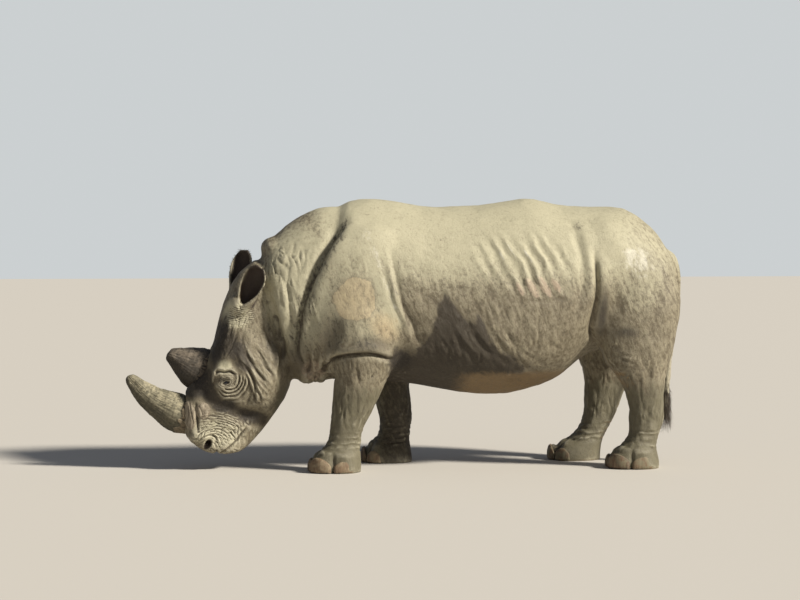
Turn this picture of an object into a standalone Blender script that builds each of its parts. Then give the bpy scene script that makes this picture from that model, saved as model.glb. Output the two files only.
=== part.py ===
"""White rhinoceros, head lowered to graze: a still, life-size display model, in metres.

The animal looks along -X with its left side towards -Y, and stands on the plane Z = 0.
Every form of flesh is first a closed loft or an ellipsoid.  They are fused into one
hide, thinned to large facets, and parted into head, neck, trunk, tail and four legs by
blocks that leave a hair's gap.  Horns, ears, eyes and nails are solids of their own,
each let into a socket that is cut a hair larger than the piece.
"""
import math

import bmesh
import bpy
import numpy as np
from mathutils import Matrix, Vector

# ---------------------------------------------------------------- driving dimensions
GAP = 0.0003              # air between neighbouring solids
MERGE = 0.000003          # corners closer than this are one
SKIN_VOXEL = 0.015        # grain of the fused hide
SKIN_SMOOTHING = 4        # rounds of smoothing after the forms are fused
BLEND_SMOOTHING = 30      # further rounds on the broad forms of the body
SKIN_TRIANGLES = 3700     # facets of the whole hide before it is parted
RING_SIDES = 40           # sides of a lofted ring
FOOT_DEPTH = 0.04         # how far feet are drawn below the floor before it trims them
FOOT_SQUARENESS = 2.3     # roundness of a foot seen from above, 2 for an ellipse

EYE_RADIUS = 0.021
EYE_CENTRE = (-1.122, 0.177, 0.551)      # x, distance from the middle plane, z

# Sagittal stations, head to tail.  Each row: top x, top z, bottom x, bottom z,
# half width, level of the widest point (0 bottom, 1 top), roundness above and below it
# (2 is an ellipse, more is squarer, less is more pointed).
TRUNK = (
    (-0.385, 1.655, -0.665, 0.640, 0.300, 0.48, 2.0, 2.0),
    (-0.335, 1.685, -0.625, 0.580, 0.365, 0.46, 1.9, 2.1),
    (-0.223, 1.700, -0.460, 0.560, 0.400, 0.46, 1.8, 2.2),
    (-0.060, 1.688, -0.180, 0.555, 0.410, 0.45, 1.8, 2.2),
    (0.130, 1.654, 0.080, 0.522, 0.425, 0.43, 1.9, 2.2),
    (0.400, 1.652, 0.390, 0.467, 0.455, 0.42, 1.9, 2.2),
    (0.620, 1.677, 0.620, 0.458, 0.468, 0.42, 1.9, 2.2),
    (0.800, 1.703, 0.800, 0.490, 0.468, 0.43, 1.8, 2.2),
    (1.000, 1.662, 0.985, 0.562, 0.450, 0.46, 1.9, 2.2),
    (1.200, 1.647, 1.170, 0.700, 0.415, 0.50, 2.0, 2.1),
    (1.400, 1.643, 1.380, 0.760, 0.385, 0.52, 2.0, 2.0),
    (1.540, 1.568, 1.520, 0.760, 0.350, 0.52, 2.0, 2.0),
    (1.655, 1.457, 1.630, 0.790, 0.290, 0.52, 2.0, 2.0),
    (1.728, 1.330, 1.710, 0.880, 0.200, 0.50, 2.0, 2.0),
    (1.752, 1.220, 1.742, 1.000, 0.090, 0.50, 2.0, 2.0),
)

NECK = (
    (-0.200, 1.640, -0.380, 0.680, 0.280, 0.46, 1.9, 2.0),
    (-0.480, 1.648, -0.540, 0.570, 0.300, 0.46, 1.8, 2.0),
    (-0.609, 1.608, -0.610, 0.548, 0.298, 0.46, 1.8, 1.9),
    (-0.736, 1.530, -0.665, 0.555, 0.285, 0.47, 1.8, 1.8),
    (-0.835, 1.430, -0.705, 0.590, 0.262, 0.50, 1.9, 1.8),
    (-0.900, 1.310, -0.740, 0.680, 0.225, 0.52, 2.0, 2.0),
)

# The same columns, from the poll down to the lips.
HEAD = (
    (-0.930, 1.320, -0.730, 0.880, 0.160, 0.60, 2.4, 2.0),
    (-1.045, 1.215, -0.715, 0.720, 0.180, 0.64, 2.8, 2.0),
    (-1.120, 1.070, -0.710, 0.620, 0.188, 0.64, 3.0, 2.0),
    (-1.165, 0.920, -0.715, 0.530, 0.204, 0.60, 2.8, 2.2),
    (-1.200, 0.780, -0.745, 0.450, 0.216, 0.58, 2.7, 2.2),
    (-1.275, 0.650, -0.785, 0.385, 0.200, 0.60, 2.6, 2.2),
    (-1.345, 0.540, -0.835, 0.310, 0.172, 0.62, 2.6, 2.2),
    (-1.388, 0.430, -0.885, 0.245, 0.151, 0.62, 2.7, 2.3),
    (-1.402, 0.330, -0.935, 0.188, 0.147, 0.60, 2.7, 2.5),
    (-1.382, 0.238, -0.985, 0.140, 0.156, 0.58, 2.7, 2.8),
    (-1.325, 0.165, -1.030, 0.112, 0.153, 0.55, 2.7, 3.0),
    (-1.255, 0.112, -1.090, 0.100, 0.130, 0.50, 2.4, 2.6),
)

# Leg stations, from the shoulder or hip to the sole.  Each row: height, front x, rear x,
# inner and outer distance from the middle plane.
LEFT_FORELEG = (
    (1.250, -0.400, -0.060, 0.120, 0.350),
    (1.000, -0.480, -0.020, 0.110, 0.415),
    (0.820, -0.480, -0.030, 0.120, 0.435),
    (0.700, -0.458, -0.072, 0.130, 0.425),
    (0.620, -0.452, -0.105, 0.140, 0.405),
    (0.545, -0.455, -0.146, 0.150, 0.390),
    (0.420, -0.467, -0.199, 0.155, 0.372),
    (0.290, -0.480, -0.270, 0.165, 0.360),
    (0.190, -0.496, -0.293, 0.163, 0.360),
    (0.124, -0.546, -0.297, 0.148, 0.378),
    (0.050, -0.596, -0.291, 0.128, 0.395),
    (0.000, -0.598, -0.294, 0.128, 0.395),
)
RIGHT_FORELEG = (
    (1.250, -0.380, -0.020, 0.120, 0.350),
    (1.000, -0.390, 0.080, 0.110, 0.415),
    (0.820, -0.300, 0.130, 0.120, 0.435),
    (0.700, -0.235, 0.140, 0.130, 0.425),
    (0.600, -0.185, 0.115, 0.140, 0.400),
    (0.500, -0.150, 0.075, 0.150, 0.385),
    (0.374, -0.135, 0.089, 0.158, 0.370),
    (0.277, -0.110, 0.093, 0.162, 0.360),
    (0.186, -0.120, 0.083, 0.160, 0.362),
    (0.120, -0.160, 0.082, 0.148, 0.380),
    (0.050, -0.208, 0.092, 0.128, 0.395),
    (0.000, -0.210, 0.094, 0.128, 0.395),
)
LEFT_HINDLEG = (
    (1.300, 1.260, 1.690, 0.080, 0.350),
    (1.050, 1.205, 1.745, 0.070, 0.400),
    (0.850, 1.205, 1.715, 0.080, 0.408),
    (0.700, 1.250, 1.680, 0.100, 0.398),
    (0.600, 1.320, 1.650, 0.120, 0.382),
    (0.500, 1.382, 1.638, 0.142, 0.366),
    (0.400, 1.411, 1.634, 0.155, 0.356),
    (0.300, 1.419, 1.630, 0.158, 0.352),
    (0.200, 1.410, 1.598, 0.155, 0.358),
    (0.130, 1.352, 1.585, 0.142, 0.376),
    (0.050, 1.292, 1.604, 0.125, 0.392),
    (0.000, 1.290, 1.604, 0.125, 0.392),
)
RIGHT_HINDLEG = (
    (1.300, 1.220, 1.680, 0.080, 0.350),
    (1.050, 1.150, 1.710, 0.070, 0.400),
    (0.850, 1.140, 1.660, 0.080, 0.408),
    (0.700, 1.175, 1.600, 0.100, 0.398),
    (0.600, 1.215, 1.555, 0.120, 0.382),
    (0.490, 1.235, 1.508, 0.142, 0.366),
    (0.385, 1.231, 1.469, 0.155, 0.356),
    (0.286, 1.227, 1.430, 0.158, 0.352),
    (0.200, 1.190, 1.384, 0.155, 0.358),
    (0.130, 1.120, 1.345, 0.142, 0.376),
    (0.050, 1.020, 1.334, 0.125, 0.392),
    (0.000, 1.018, 1.334, 0.125, 0.392),
)

LEG_STATIONS = {"foreleg_left": LEFT_FORELEG, "foreleg_right": RIGHT_FORELEG,
                "hindleg_left": LEFT_HINDLEG, "hindleg_right": RIGHT_HINDLEG}

# The tail hangs down the rump.  Each row: x, z, half depth, half width.
TAIL = (
    (1.640, 1.340, 0.060, 0.070),
    (1.722, 1.310, 0.054, 0.062),
    (1.762, 1.220, 0.042, 0.050),
    (1.775, 1.080, 0.032, 0.039),
    (1.767, 0.920, 0.026, 0.031),
    (1.745, 0.760, 0.022, 0.026),
    (1.728, 0.610, 0.021, 0.024),
    (1.716, 0.520, 0.025, 0.032),
    (1.710, 0.410, 0.028, 0.040),
    (1.709, 0.330, 0.022, 0.032),
    (1.711, 0.275, 0.008, 0.014),
)

# Muscles, folds and pads that swell from the lofts: centre x, distance from the middle
# plane, z; radii along x, y, z; pitch about the Y axis in degrees.  Each is made on
# both sides, the right one moved back by the last value, as the legs are in mid step.
MASSES = {
    "shoulder": ((-0.270, 0.235, 1.050), (0.345, 0.165, 0.500), 12, 0.05),
    "upper arm": ((-0.285, 0.265, 0.930), (0.230, 0.165, 0.230), 0, 0.18),
    "shoulder lip": ((-0.265, 0.300, 0.795), (0.225, 0.145, 0.075), -2, 0.22),
    "elbow flap": ((0.000, 0.310, 0.860), (0.165, 0.095, 0.060), -14, 0.16),
    "haunch": ((1.440, 0.230, 1.080), (0.270, 0.165, 0.400), -4, -0.04),
    "hip bone": ((1.270, 0.190, 1.480), (0.170, 0.120, 0.095), 4, 0.0),
    "cheek": ((-0.905, 0.115, 0.600), (0.150, 0.095, 0.235), 12, 0.0),
    "cheekbone": ((-1.040, 0.162, 0.700), (0.115, 0.056, 0.160), 20, 0.0),
    "brow": ((-1.165, 0.150, 0.605), (0.070, 0.050, 0.050), 0, 0.0),
    "nostril pad": ((-1.300, 0.108, 0.222), (0.062, 0.058, 0.060), 0, 0.0),
    "lip pad": ((-1.170, 0.095, 0.140), (0.110, 0.055, 0.040), 4, 0.0),
    "ear root": ((-1.030, 0.150, 1.040), (0.075, 0.070, 0.075), 0, 0.0),
    "brisket lobe": ((-0.615, 0.085, 0.640), (0.075, 0.085, 0.110), 0, 0.0),
    "throat fold": ((-0.530, 0.090, 0.640), (0.070, 0.090, 0.100), 0, 0.0),
}
NUCHAL_HUMP = ((-0.805, 0.0, 1.372), (0.095, 0.130, 0.080), 35)

# Horns: x, z, half thickness in the middle plane, half width.
FRONT_HORN = (
    (-1.310, 0.322, 0.100, 0.096),
    (-1.400, 0.352, 0.122, 0.106),
    (-1.470, 0.385, 0.110, 0.094),
    (-1.545, 0.428, 0.090, 0.074),
    (-1.620, 0.487, 0.066, 0.056),
    (-1.680, 0.545, 0.044, 0.040),
    (-1.706, 0.576, 0.030, 0.028),
    (-1.716, 0.590, 0.014, 0.014),
)
REAR_HORN = (
    (-1.225, 0.608, 0.142, 0.086),
    (-1.295, 0.640, 0.134, 0.090),
    (-1.350, 0.668, 0.108, 0.078),
    (-1.400, 0.692, 0.076, 0.060),
    (-1.440, 0.712, 0.050, 0.044),
    (-1.462, 0.722, 0.034, 0.030),
    (-1.471, 0.727, 0.016, 0.016),
)

# Ears: base, tip and the way the opening faces.
EAR_WIDTH = 0.082         # half width at the widest point
EARS = {
    "ear_left": ((-1.020, -0.165, 1.010), (-0.905, -0.262, 1.278), (-0.35, -0.93, 0.15)),
    "ear_right": ((-1.035, 0.160, 1.055), (-0.975, 0.240, 1.372), (-0.62, -0.78, 0.10)),
}

# Nails: bearing on the foot and half spread in degrees, and height.  Each foot is turned
# outwards by some degrees of its own.
NAILS = {"inner": (-66, 22, 0.078), "middle": (0, 38, 0.092), "outer": (69, 25, 0.082)}
FOOT_TURN = {"foreleg_left": 42, "foreleg_right": 14, "hindleg_left": 38, "hindleg_right": 14}
NAIL_THICKNESS = 0.034
NAIL_CLEARANCE = 0.004    # nails end this far above the floor
NAIL_RINGS = 4
# Section of a nail: outward in thicknesses, upward in heights.
NAIL_PROFILE = ((-0.50, 0.00), (0.45, 0.00), (0.58, 0.22), (0.52, 0.55), (0.22, 0.92),
                (-0.20, 1.00), (-0.50, 0.80), (-0.50, 0.40))


# ---------------------------------------------------------------- scene housekeeping
def clear_scene():
    """Remove whatever the file holds."""
    for old in list(bpy.data.objects):
        bpy.data.objects.remove(old)


def collection(name):
    """A collection linked to the scene."""
    group = bpy.data.collections.new(name)
    bpy.context.scene.collection.children.link(group)
    return group


def material(name, colour, roughness, metallic=0.0):
    """A Principled material of one colour."""
    finish = bpy.data.materials.new(name)
    finish.use_nodes = True
    finish.diffuse_color = (*colour, 1.0)
    shader = finish.node_tree.nodes["Principled BSDF"]
    shader.inputs["Base Color"].default_value = (*colour, 1.0)
    shader.inputs["Roughness"].default_value = roughness
    shader.inputs["Metallic"].default_value = metallic
    return finish


def add_object(name, mesh, group):
    """A new object for a mesh, in a collection."""
    piece = bpy.data.objects.new(name, mesh)
    group.objects.link(piece)
    return piece


def smooth_shading(piece, angle=50):
    """Round surfaces shade smoothly up to an angle."""
    piece.data.shade_smooth()
    piece.data.set_sharp_from_angle(angle=math.radians(angle))


# ---------------------------------------------------------------- shape makers
def through(rows, steps):
    """A smooth curve through rows of numbers: a Catmull-Rom spline, `steps` to a span."""
    rows = np.array(rows, float)
    padded = np.vstack([2 * rows[0] - rows[1], rows, 2 * rows[-1] - rows[-2]])
    t = np.linspace(0, 1, steps, endpoint=False)[:, None]
    spans = []
    for a, b, c, d in zip(padded, padded[1:], padded[2:], padded[3:]):
        spans.append(0.5 * (2 * b + (c - a) * t + (2 * a - 5 * b + 4 * c - d) * t ** 2
                            + (3 * b - a - 3 * c + d) * t ** 3))
    return np.vstack([*spans, rows[-1:]])


def loft(name, rings):
    """A closed mesh through rings of points, both ends capped.  It is made of triangles,
    so that a piece and the socket cut for it bend along the same lines."""
    count, sides, _ = rings.shape
    corner = np.arange(count * sides).reshape(count, sides)
    nxt = np.roll(corner, -1, axis=1)
    quads = np.stack([corner[:-1], nxt[:-1], nxt[1:], corner[1:]], axis=-1).reshape(-1, 4)
    caps = [corner[0, ::-1].tolist(), corner[-1].tolist()]
    mesh = bpy.data.meshes.new(name)
    mesh.from_pydata(rings.reshape(-1, 3).tolist(), [], quads.tolist() + caps)
    shape = bmesh.new()
    shape.from_mesh(mesh)
    bmesh.ops.triangulate(shape, faces=shape.faces)
    bmesh.ops.recalc_face_normals(shape, faces=shape.faces)
    shape.to_mesh(mesh)
    shape.free()
    return mesh


def power(values, roundness):
    """Signed power of a sine or cosine, for superellipse rings."""
    return np.sign(values) * np.abs(values) ** (2 / roundness)


def sagittal_loft(name, stations, steps=5):
    """Body sections that hang from a top point to a bottom point of the middle plane."""
    rows = through(stations, steps)
    turn = np.linspace(0, 2 * np.pi, RING_SIDES, endpoint=False)
    top, bottom = rows[:, None, 0:2], rows[:, None, 2:4]
    half_width, widest, crown, keel = (rows[:, None, i] for i in range(4, 8))
    rise, spread = np.sin(turn)[None], np.cos(turn)[None]
    upper = rise > 0
    roundness = np.where(upper, crown, keel)
    level = widest + np.where(upper, 1 - widest, widest) * power(rise, roundness)
    middle = bottom + (top - bottom) * level[..., None]
    across = half_width * power(spread, roundness)
    return loft(name, np.stack([middle[..., 0], across, middle[..., 1]], axis=-1))


def leg_loft(name, stations, side, steps=4, sides=RING_SIDES):
    """A leg of level rings, drawn on below the floor, which trims it later."""
    sole = (-FOOT_DEPTH, *stations[-1][1:])
    rows = through((*stations, sole), steps)
    turn = np.linspace(0, 2 * np.pi, sides, endpoint=False)
    height, front, rear, inner, outer = (rows[:, None, i] for i in range(5))
    x = (front + rear) / 2 + (rear - front) / 2 * power(np.cos(turn), FOOT_SQUARENESS)[None]
    y = (inner + outer) / 2 + (outer - inner) / 2 * power(np.sin(turn), FOOT_SQUARENESS)[None]
    return loft(name, np.stack([x, side * y, height + 0 * x], axis=-1))


def spine_loft(name, stations, sides, steps):
    """A round piece along a curve of the middle plane, as a tail or a horn."""
    rows = through(stations, steps)
    path = rows[:, 0:2]
    along = np.gradient(path, axis=0)
    along /= np.linalg.norm(along, axis=1)[:, None]
    normal = np.stack([-along[:, 1], along[:, 0]], axis=1)
    turn = np.linspace(0, 2 * np.pi, sides, endpoint=False)
    offset = rows[:, 2, None] * np.sin(turn)[None]
    x = path[:, 0, None] + normal[:, 0, None] * offset
    z = path[:, 1, None] + normal[:, 1, None] * offset
    y = rows[:, 3, None] * np.cos(turn)[None]
    return loft(name, np.stack([x, y, z], axis=-1))


def ellipsoid(name, centre, radii, pitch, segments=24, rings=14):
    """A UV sphere drawn out to three radii and pitched about the Y axis."""
    shape = bmesh.new()
    bmesh.ops.create_uvsphere(shape, u_segments=segments, v_segments=rings, radius=1)
    place = (Matrix.Translation(centre) @ Matrix.Rotation(math.radians(pitch), 4, "Y")
             @ Matrix.Diagonal((*radii, 1)))
    bmesh.ops.transform(shape, matrix=place, verts=shape.verts)
    mesh = bpy.data.meshes.new(name)
    shape.to_mesh(mesh)
    shape.free()
    return mesh


def block(name, corners_low, corners_high, pitch=0.0, pivot=(0, 0, 0)):
    """A box between two corners, pitched about the Y axis through a pivot."""
    low, high = Vector(corners_low), Vector(corners_high)
    shape = bmesh.new()
    bmesh.ops.create_cube(shape, size=1)
    place = (Matrix.Translation(pivot) @ Matrix.Rotation(math.radians(pitch), 4, "Y")
             @ Matrix.Translation((low + high) / 2) @ Matrix.Diagonal((*(high - low), 1)))
    bmesh.ops.transform(shape, matrix=place, verts=shape.verts)
    mesh = bpy.data.meshes.new(name)
    shape.to_mesh(mesh)
    shape.free()
    return mesh


# ---------------------------------------------------------------- working on solids
def evaluated(piece):
    """The piece's mesh with its modifiers applied."""
    graph = bpy.context.evaluated_depsgraph_get()
    return bpy.data.meshes.new_from_object(piece.evaluated_get(graph))


def apply_modifiers(piece):
    """Replace the piece's mesh by the evaluated one."""
    mesh = evaluated(piece)
    piece.modifiers.clear()
    piece.data = mesh


def boolean(piece, operation, cutter_mesh, cutters):
    """Cut, keep or join with an EXACT Boolean, applied."""
    cutter = add_object("cutter_" + cutter_mesh.name, cutter_mesh, cutters)
    cutter.hide_render = True
    cutter.display_type = "WIRE"
    step = piece.modifiers.new(operation, "BOOLEAN")
    step.operation = operation
    step.solver = "EXACT"
    step.object = cutter
    apply_modifiers(piece)


def triangulated(piece):
    """Split every face into triangles and merge corners that fall together."""
    shape = bmesh.new()
    shape.from_mesh(piece.data)
    bmesh.ops.remove_doubles(shape, verts=shape.verts, dist=MERGE)
    bmesh.ops.triangulate(shape, faces=shape.faces)
    shape.to_mesh(piece.data)
    shape.free()


def grown(mesh, distance):
    """A copy of a closed mesh with every corner moved out along its normal."""
    copy = mesh.copy()
    shape = bmesh.new()
    shape.from_mesh(copy)
    shape.normal_update()
    moves = [vertex.normal * distance for vertex in shape.verts]
    for vertex, move in zip(shape.verts, moves):
        vertex.co += move
    shape.to_mesh(copy)
    shape.free()
    return copy


# ---------------------------------------------------------------- the hide
def mark_broad_forms(hide):
    """Weigh the hide from 0 on the head, feet and creases to 1 on the body behind the
    shoulder, where the forms run into each other softly."""
    count = len(hide.data.vertices)
    points = np.empty(count * 3)
    hide.data.vertices.foreach_get("co", points)
    x, _, z = points.reshape(-1, 3).T
    weight = np.clip((x + 0.42) / 0.25, 0.25, 1) * np.clip((z - 0.62) / 0.25, 0, 1)
    weight *= np.clip((x + 0.75) / 0.15, 0, 1) * np.clip((1.74 - x) / 0.08, 0, 1)
    group = hide.vertex_groups.new(name="broad forms")
    steps = np.round(weight * 10).astype(int)
    for step in range(1, 11):
        group.add(np.flatnonzero(steps == step).tolist(), step / 10, "REPLACE")


def fused_hide(cutters):
    """All forms of flesh fused into one closed skin and thinned to large facets."""
    forms = [sagittal_loft("trunk form", TRUNK), sagittal_loft("neck form", NECK),
             sagittal_loft("head form", HEAD), spine_loft("tail form", TAIL, 20, 5),
             ellipsoid("nuchal hump form", *NUCHAL_HUMP)]
    for name, stations in LEG_STATIONS.items():
        forms.append(leg_loft(f"{name} form", stations, -1 if name.endswith("left") else 1))
    for name, (centre, radii, pitch, right_back) in MASSES.items():
        for side in (-1, 1):
            back = right_back if side > 0 else 0.0
            place = (centre[0] + back, side * centre[1], centre[2])
            forms.append(ellipsoid(f"{name} form", place, radii, pitch))
    together = bmesh.new()
    for form in forms:
        together.from_mesh(form)
    mesh = bpy.data.meshes.new("hide")
    together.to_mesh(mesh)
    together.free()
    hide = add_object("hide", mesh, cutters)

    fuse = hide.modifiers.new("fuse", "REMESH")
    fuse.mode = "VOXEL"
    fuse.voxel_size = SKIN_VOXEL
    soften = hide.modifiers.new("soften", "SMOOTH")
    soften.factor = 0.5
    soften.iterations = SKIN_SMOOTHING
    apply_modifiers(hide)
    mark_broad_forms(hide)
    blend = hide.modifiers.new("blend", "SMOOTH")
    blend.factor = 0.5
    blend.iterations = BLEND_SMOOTHING
    blend.vertex_group = "broad forms"
    apply_modifiers(hide)
    thin = hide.modifiers.new("thin", "DECIMATE")
    thin.ratio = SKIN_TRIANGLES / (2 * len(hide.data.polygons))
    apply_modifiers(hide)
    boolean(hide, "DIFFERENCE", block("floor", (-3, -2, -1), (3, 2, 0)), cutters)
    triangulated(hide)
    return hide


# Blocks that part the hide: low and high corner, pitch about the Y axis and its pivot.
REGIONS = {
    "head": ((-1.50, -1.0, -1.20), (0.0, 1.0, 0.80), -10.0, (-0.775, 0.0, 0.95)),
    "neck": ((-1.50, -1.0, -0.66), (0.0, 1.0, 0.90), 14.0, (-0.515, 0.0, 1.12)),
}
# Legs and tail are taken below a level, no further out than this from their own loft.
LIMB_LEVELS = {"foreleg_left": 0.735, "foreleg_right": 0.735, "hindleg_left": 0.79,
               "hindleg_right": 0.79, "tail": 1.22}
LIMB_MARGIN = 0.025
TAIL_MARGIN = 0.012
ROOM_SIDES = 12


def limb_region(name, cutters):
    """The room a limb takes below its level: its loft, grown, down to the floor."""
    side = -1 if name.endswith("left") else 1
    if name == "tail":
        form, margin = spine_loft("tail room", TAIL, ROOM_SIDES, 1), TAIL_MARGIN
    else:
        form = leg_loft(name + " room", LEG_STATIONS[name], side, 1, ROOM_SIDES)
        margin = LIMB_MARGIN
    room = add_object(name + "_room", grown(form, margin), cutters)
    below = block(name + " level", (-3, -2, -1), (3, 2, LIMB_LEVELS[name]))
    boolean(room, "INTERSECT", below, cutters)
    triangulated(room)
    return room.data


def part_hide(hide, animal, cutters):
    """The hide parted into nodes; what no region takes is the trunk."""
    regions = {name: block(name, *size) for name, size in REGIONS.items()}
    regions.update({name: limb_region(name, cutters) for name in LIMB_LEVELS})
    nodes = {}
    rest = add_object("trunk", hide.data.copy(), animal)
    for name, region in regions.items():
        node = add_object(name, rest.data.copy(), animal)
        boolean(node, "INTERSECT", region, cutters)
        boolean(rest, "DIFFERENCE", grown(region, 2 * GAP), cutters)
        nodes[name] = node
    nodes["trunk"] = rest
    return nodes


# ---------------------------------------------------------------- horns, ears, eyes, nails
def ear_mesh(name, base, tip, facing, rings=7, sides=10):
    """A leaf rolled into a cup: an egg-shaped loft with a hollow cut into its front."""
    base, tip = np.array(base), np.array(tip)
    axis = tip - base
    length = np.linalg.norm(axis)
    axis /= length
    front = np.array(facing, float)
    front -= axis * (front @ axis)
    front /= np.linalg.norm(front)
    across = np.cross(axis, front)
    turn = np.linspace(0, 2 * np.pi, sides, endpoint=False)

    def rings_of(s, half_width, half_depth, forward):
        centre = base + np.outer(s * length, axis) + np.outer(forward, front)
        return (centre[:, None] + half_width[:, None, None] * np.cos(turn)[None, :, None] * across
                + half_depth[:, None, None] * np.sin(turn)[None, :, None] * front)

    s = np.linspace(0, 1, rings)
    swell = np.interp(s, (0, 0.3, 0.62, 0.85, 1), (0.50, 0.72, 1.0, 0.72, 0.14))
    depth = np.interp(s, (0, 0.3, 0.62, 0.85, 1), (0.042, 0.050, 0.048, 0.030, 0.008))
    outer = loft(name, rings_of(s, EAR_WIDTH * swell, depth, 0 * s))
    s = np.linspace(0.20, 0.965, rings)
    inside = EAR_WIDTH * np.interp(s, (0.2, 0.3, 0.62, 0.85, 0.965),
                                   (0.22, 0.58, 0.90, 0.61, 0.10))
    hollow = np.interp(s, (0.2, 0.3, 0.62, 0.85, 0.965), (0.020, 0.048, 0.058, 0.042, 0.016))
    ahead = np.interp(s, (0.2, 0.3, 0.62, 0.85, 0.965), (0.034, 0.018, 0.018, 0.020, 0.017))
    return outer, loft(name + " hollow", rings_of(s, inside, hollow, ahead))


def nail_mesh(name, foot, side, bearing, spread, height):
    """A nail bent round the rim of the foot: one profile carried along a stretch of the
    rim, lower and thinner towards both ends of the stretch."""
    front, rear, inner, outer = foot
    half_x, half_y = (rear - front) / 2, (outer - inner) / 2
    along = np.linspace(-1, 1, NAIL_RINGS)
    angle = np.radians(bearing + spread * along)
    x = (front + rear) / 2 - half_x * power(np.cos(angle), FOOT_SQUARENESS)
    y = (inner + outer) / 2 + half_y * power(np.sin(angle), FOOT_SQUARENESS)
    outward = np.stack([-np.cos(angle) / half_x, np.sin(angle) / half_y], axis=1)
    outward /= np.linalg.norm(outward, axis=1)[:, None]
    taper = 1 - 0.45 * along ** 2
    out, up = np.array(NAIL_PROFILE).T
    deep = out * NAIL_THICKNESS * taper[:, None]
    rings = np.stack([x[:, None] + outward[:, 0, None] * deep,
                      side * (y[:, None] + outward[:, 1, None] * deep),
                      NAIL_CLEARANCE + up * height * taper[:, None]], axis=-1)
    return loft(name, rings)


def socket(host, piece, cutters):
    """Cut a socket for a piece, a hair larger than the piece."""
    boolean(host, "DIFFERENCE", grown(piece.data, GAP), cutters)


def add_horns(nodes, animal, cutters):
    """Two horns let into the head."""
    for name, stations in (("horn_front", FRONT_HORN), ("horn_rear", REAR_HORN)):
        horn = add_object(name, spine_loft(name, stations, 12, 1), animal)
        socket(nodes["head"], horn, cutters)
        nodes[name] = horn


def add_ears(nodes, animal, cutters):
    """Two ears let into the head, each turned its own way."""
    for name, (base, tip, facing) in EARS.items():
        outer, hollow = ear_mesh(name, base, tip, facing)
        ear = add_object(name, outer, animal)
        socket(nodes["head"], ear, cutters)
        boolean(ear, "DIFFERENCE", hollow, cutters)
        nodes[name] = ear


def add_eyes(nodes, animal, cutters):
    """Two eyeballs let into the head."""
    x, out, z = EYE_CENTRE
    for name, side in (("eye_left", -1), ("eye_right", 1)):
        ball = ellipsoid(name, (x, side * out, z), (EYE_RADIUS,) * 3, 0, 8, 6)
        eye = add_object(name, ball, animal)
        socket(nodes["head"], eye, cutters)
        nodes[name] = eye


def add_nails(nodes, animal, cutters):
    """Three nails let into the rim of each foot."""
    for leg, stations in LEG_STATIONS.items():
        side = -1 if leg.endswith("left") else 1
        foot = stations[-2][1:]
        for place, (bearing, spread, height) in NAILS.items():
            name = f"nail_{leg}_{place}"
            bearing += FOOT_TURN[leg]
            nail = add_object(name, nail_mesh(name, foot, side, bearing, spread, height), animal)
            socket(nodes[leg], nail, cutters)
            nodes[name] = nail


def centre_on_origin(pieces):
    """Move the whole animal so that its box is centred on the Z axis and stands on 0."""
    corners = [vertex.co for piece in pieces for vertex in piece.data.vertices]
    middle = [(min(c[i] for c in corners) + max(c[i] for c in corners)) / 2 for i in (0, 1)]
    lowest = min(c[2] for c in corners)
    for piece in pieces:
        piece.data.transform(Matrix.Translation((-middle[0], -middle[1], -lowest)))


def main():
    clear_scene()
    animal = collection("white_rhinoceros")
    cutters = collection("cutters")
    hide = fused_hide(cutters)
    nodes = part_hide(hide, animal, cutters)
    add_horns(nodes, animal, cutters)
    add_ears(nodes, animal, cutters)
    add_eyes(nodes, animal, cutters)
    add_nails(nodes, animal, cutters)

    skin = material("dusty hide", (0.27, 0.24, 0.18), 0.85)
    horn = material("horn", (0.20, 0.18, 0.12), 0.6)
    nail = material("nail", (0.28, 0.19, 0.11), 0.5)
    eye = material("eye", (0.02, 0.015, 0.01), 0.1)
    finishes = {"horn": horn, "nail": nail, "eye": eye}
    for name, piece in nodes.items():
        triangulated(piece)
        smooth_shading(piece)
        piece.data.materials.clear()
        piece.data.materials.append(finishes.get(name.split("_")[0], skin))
    centre_on_origin(list(nodes.values()))
    for cutter in list(cutters.objects):
        cutter.hide_render = True
        cutter.display_type = "WIRE"


main()
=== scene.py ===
"""White rhinoceros, head lowered to graze: the looks of a life-size display model.

The animal looks along -X with its left side towards -Y and stands on the floor at Z = 0.
The file follows the animal as it is made: hide, hairs, horns, eyes, nails, then the room.
"""
import math

import bmesh
import bpy
import numpy as np
from mathutils import Matrix, Vector


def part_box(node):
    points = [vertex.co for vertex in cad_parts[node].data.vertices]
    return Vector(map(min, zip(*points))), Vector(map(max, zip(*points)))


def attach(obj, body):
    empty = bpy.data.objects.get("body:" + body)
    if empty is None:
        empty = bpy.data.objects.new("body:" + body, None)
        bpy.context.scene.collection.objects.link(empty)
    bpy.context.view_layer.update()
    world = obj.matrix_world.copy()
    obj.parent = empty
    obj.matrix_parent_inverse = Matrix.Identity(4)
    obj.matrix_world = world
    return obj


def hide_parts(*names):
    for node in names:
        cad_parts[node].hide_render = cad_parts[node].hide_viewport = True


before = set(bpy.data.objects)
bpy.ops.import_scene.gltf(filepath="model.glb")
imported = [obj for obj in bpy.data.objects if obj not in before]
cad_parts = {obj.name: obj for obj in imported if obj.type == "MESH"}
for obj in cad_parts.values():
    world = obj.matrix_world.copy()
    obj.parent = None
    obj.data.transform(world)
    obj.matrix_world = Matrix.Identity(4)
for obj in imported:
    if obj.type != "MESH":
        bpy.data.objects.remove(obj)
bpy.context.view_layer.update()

# ---------------------------------------------------------------- cast of the body
# The flesh is one closed body under the hide: head, neck, trunk, tail, legs and ears run
# into each other without a seam.  The cast is taken from the solids, its facets are
# rubbed down, and the roots of horns, eyes and nails are filled so that the hide passes
# closed beneath them.
FLESH = ("head", "neck", "trunk", "tail", "foreleg_left", "foreleg_right",
         "hindleg_left", "hindleg_right")
LEGS = FLESH[4:]
SIDES = (("left", -1), ("right", 1))
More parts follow.
